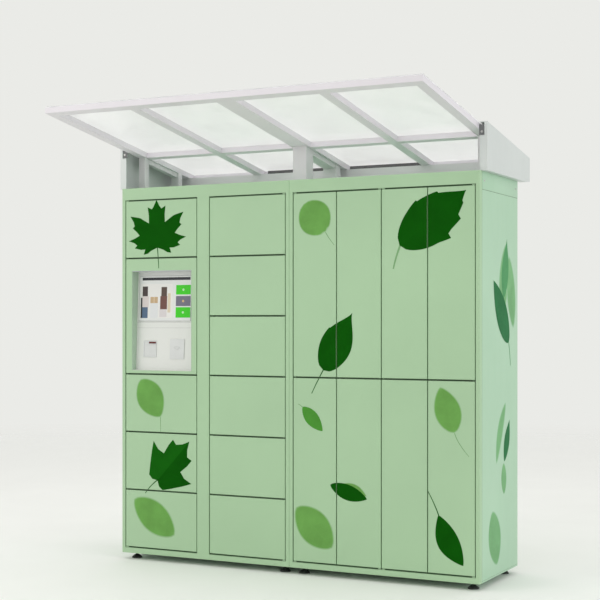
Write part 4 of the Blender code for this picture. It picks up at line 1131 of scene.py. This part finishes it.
def build_back_details():
    """The rear: hoods over the louvre slots, the panels' screws, and the mains inlet's grommet."""
    for side, name in SIDES:
        middle = side * CABINET_WIDTH / 2
        hoods = bmesh.new()
        for row in range(6):
            z = 1.30 + row * 0.030
            for shift in (-1, 1):
                x = middle + shift * CABINET_WIDTH / 4
                hood(hoods, x - 0.078, x + 0.078, z)
        finished(f"louvre_hoods_{name}", hoods, green_paint)
        heads = bmesh.new()
        for x in (middle - 0.495, middle, middle + 0.495):
            for z in (0.060, 0.710, 1.360, 2.010):
                if x != middle or z not in (0.710, 1.360):
                    screw(heads, (x, CABINET_DEPTH, z), (0, 1, 0), 0.0050, 0.0075)
        finished(f"back_panel_screws_{name}", heads, steel)
    bm = bmesh.new()
    grommet(bm, (-CABINET_WIDTH / 2, CABINET_DEPTH, 0.350), 0.0070, 0.0150)
    finished("mains_inlet_grommet", bm, rubber)


def hood(bm, low_x, high_x, z):
    """A pressed louvre hood: a quarter-round that opens downwards, with rounded ends."""
    steps = 6
    top = z + 0.0105
    drop, reach = 0.0125, 0.0052
    thick = 0.0009
    rows = []
    for end in range(9):
        share = end / 8
        x = low_x + (high_x - low_x) * share
        swell = math.sin(math.pi * 4 * min(share, 1 - share, 0.125))
        row = []
        for step in range(steps + 1):
            turn = math.radians(90 * step / steps)
            y = CABINET_DEPTH - 0.0002 + reach * swell * math.sin(turn)
            row.append((x, y, top - drop * (1 - math.cos(turn))))
        rows.append(row)
    part = bmesh.new()
    outer = [[part.verts.new(point) for point in row] for row in rows]
    inner = [
        [part.verts.new((x, max(y - thick, CABINET_DEPTH - 0.0008), z_ - 0.0004)) for x, y, z_ in row]
        for row in rows
    ]
    for grid, flip in ((outer, False), (inner, True)):
        for row, following in zip(grid, grid[1:]):
            for step in range(steps):
                quad = (row[step], row[step + 1], following[step + 1], following[step])
                part.faces.new(quad[::-1] if flip else quad)
    rim_outer = outer[0] + [row[-1] for row in outer[1:-1]] + outer[-1][::-1]
    rim_inner = inner[0] + [row[-1] for row in inner[1:-1]] + inner[-1][::-1]
    rim_outer += [row[0] for row in outer[-2:0:-1]]
    rim_inner += [row[0] for row in inner[-2:0:-1]]
    bridge(part, [rim_outer, rim_inner])
    join(bm, part)


def grommet(bm, point, inner, outer):
    """A rubber ring with a rounded lip, open in the middle."""
    part = bmesh.new()
    section = [
        (inner, -0.006), (inner, 0.0022), (inner + 0.0015, 0.0034), (outer - 0.0020, 0.0034),
        (outer, 0.0016), (outer, -0.0002), (inner + 0.0035, -0.0004), (inner + 0.0035, -0.006),
    ]
    sides = 28
    rings = []
    for step in range(sides):
        turn = 2 * math.pi * step / sides
        rings.append([part.verts.new((r * math.cos(turn), r * math.sin(turn), h)) for r, h in section])
    bridge(part, rings + rings[:1])
    bmesh.ops.transform(part, matrix=facing(point, (0, 1, 0)), verts=part.verts)
    join(bm, part)


build_access_covers()
build_bumpers()
build_door_backs()
build_locks()
build_back_details()

# Canopy details

# The roof's plane, and where the lamp's back meets the rear rail along it
SLOPE = Matrix.Translation((0, 0, ROOF_TOP)) @ Matrix.Rotation(-ROOF_SLOPE, 4, "X")
LAMP_REAR = 0.6637


def build_lamp():
    """The slim dark lamp high on the front face of the rear rail, with its lens underneath. Its dark bar also
    stands for a painted shadow under the roof sheet.
    """
    bm = bmesh.new()
    # Painted shadow: the lamp's dark bar also fills the shaded band between the roof sheet and the rear rail
    low, high = (-0.470, LAMP_REAR - 0.013, -0.0300), (0.490, LAMP_REAR + 0.0002, -0.0060)
    slab(bm, low, high, 0.0015, 2, SLOPE)
    finished("canopy_lamp", bm, dark_lamp_and_shadow)
    bm = bmesh.new()
    low, high = (-0.462, LAMP_REAR - 0.0110, -0.0310), (0.482, LAMP_REAR - 0.0020, -0.0298)
    slab(bm, low, high, 0.0004, 2, SLOPE)
    finished("canopy_lamp_lens", bm, lamp_lens)


def build_roof_fixings():
    """Screws with sealing washers along the rafters."""
    normal = SLOPE.to_3x3() @ Vector((0, 0, 1))
    washer = [(0.0085, -0.0002), (0.0085, 0.0006), (0.0070, 0.0009), (0.0030, 0.0009)]
    heads, seals = bmesh.new(), bmesh.new()
    for x in (-0.997, -0.5175, -0.034, 0.034, 0.5175, 0.997):
        for along in (-0.660, -0.420, -0.180, 0.177, 0.360, 0.520, 0.672):
            point = SLOPE @ Vector((x, along, 0.0))
            turned(seals, washer, facing(point, normal), 20)
            screw(heads, point + normal * 0.0008, normal, 0.0048)
    finished("roof_screws", heads, steel)
    finished("roof_screw_seals", seals, rubber)


# Each post's X, and its front and back in Y
POSTS = (
    (-0.997, 0.138, 0.178), (-0.997, 0.480, 0.520), (0.0, 0.119, 0.199), (0.0, 0.480, 0.540),
    (0.997, 0.138, 0.178), (0.997, 0.480, 0.520),
)


def build_canopy_fasteners():
    """Bolts through the posts' base plates, and the brackets that hold the side boxes to the canopy."""
    bm = bmesh.new()
    for x, front, back in POSTS:
        for y in (front - 0.006, back + 0.006):
            hex_bolt(bm, (x, y, TOP_Z + 0.0043), (0, 0, 1), 0.007, 0.0055)
    finished("base_plate_bolts", bm, steel)
    for side, name in SIDES:
        bm = bmesh.new()
        low_x, high_x = sorted((side * 1.0215, side * 1.0480))
        slab(bm, (low_x, 0.0290, 2.2080), (high_x, 0.0315, 2.2600), 0.0006)
        finished(f"side_box_bracket_{name}", bm, bracket_grey)
        bm = bmesh.new()
        hex_bolt(bm, (side * 1.0360, 0.0290, 2.2240), (0, -1, 0), 0.008, 0.0060)
        finished(f"side_box_bolt_{name}", bm, steel)


build_lamp()
build_roof_fixings()
build_canopy_fasteners()

# Light, floor and camera


def build_floor():
    """A pale floor that fades into the backdrop's tone away from the object."""
    bm = bmesh.new()
    sides = 64
    turns = [2 * math.pi * s / sides for s in range(sides)]
    grid = [
        [bm.verts.new((r * math.cos(turn), r * math.sin(turn), 0)) for turn in turns]
        for r in (2.0, 4.0, 6.0, 8.0, 10.0, 12.0)
    ]
    centre = bm.verts.new((0, 0, 0))
    for s in range(sides):
        after = (s + 1) % sides
        bm.faces.new((centre, grid[0][s], grid[0][after]))
        for inner, outer in zip(grid, grid[1:]):
            bm.faces.new((inner[s], outer[s], outer[after], inner[after]))
    mesh = bpy.data.meshes.new("floor")
    bm.to_mesh(mesh)
    bm.free()
    floor = bpy.data.objects.new("floor", mesh)
    bpy.context.scene.collection.objects.link(floor)
    finish = Finish("floor", 0.75)
    tones = [(0.3, (0.885, 0.885, 0.87)), (0.7, (0.905, 0.905, 0.89))]
    finish.colour(finish.ramp(finish.noise(2.0, 4.0), tones))
    length = finish.node("ShaderNodeVectorMath", operation="LENGTH")
    finish.link(finish.place, length.inputs[0])
    fade = finish.span(length.outputs["Value"], 1.0, 0.0, (4.0, 11.0))
    clear = finish.node("ShaderNodeBsdfTransparent")
    blend = finish.node("ShaderNodeMixShader")
    output = finish.tree.nodes["Material Output"]
    finish.link(fade, blend.inputs[0])
    finish.link(clear.outputs[0], blend.inputs[1])
    finish.link(finish.shader.outputs[0], blend.inputs[2])
    finish.link(blend.outputs[0], output.inputs["Surface"])
    mesh.materials.append(finish.material)


def area_light(name, place, target, size, power, colour):
    light = bpy.data.lights.new(name, "AREA")
    light.shape = "RECTANGLE"
    light.size, light.size_y = size
    light.energy = power
    light.color = colour
    obj = bpy.data.objects.new(name, light)
    obj.location = place
    obj.rotation_euler = (Vector(target) - Vector(place)).to_track_quat("-Z", "Y").to_euler()
    bpy.context.scene.collection.objects.link(obj)


def build_light():
    world = bpy.data.worlds.new("studio")
    bpy.context.scene.world = world
    world.use_nodes = True
    background = world.node_tree.nodes["Background"]
    background.inputs["Color"].default_value = (0.825, 0.83, 0.80, 1.0)
    background.inputs["Strength"].default_value = 1.0
    area_light("key", (-4.5, -6.0, 5.0), (0, 0, 1.1), (4.0, 4.0), 110, (1.0, 0.99, 0.96))
    area_light("side_fill", (7.0, -1.0, 3.0), (1.0, 0.3, 1.1), (3.0, 4.0), 75, (0.90, 0.97, 1.0))
    area_light("top", (0, 0.5, 6.5), (0, 0.2, 0), (5.0, 5.0), 72, (1.0, 1.0, 1.0))


def build_camera():
    camera = bpy.data.cameras.new("camera")
    camera.sensor_width = 36.0
    camera.lens = 81.98
    camera.shift_y = 0.0373
    camera.clip_end = 200.0
    obj = bpy.data.objects.new("camera", camera)
    obj.location = (3.246, -6.266, 1.300)
    obj.rotation_euler = (math.radians(90), 0.0, math.radians(26.93))
    bpy.context.scene.collection.objects.link(obj)
    bpy.context.scene.camera = obj


build_floor()
build_light()
build_camera()
bpy.context.scene.view_settings.view_transform = "Standard"
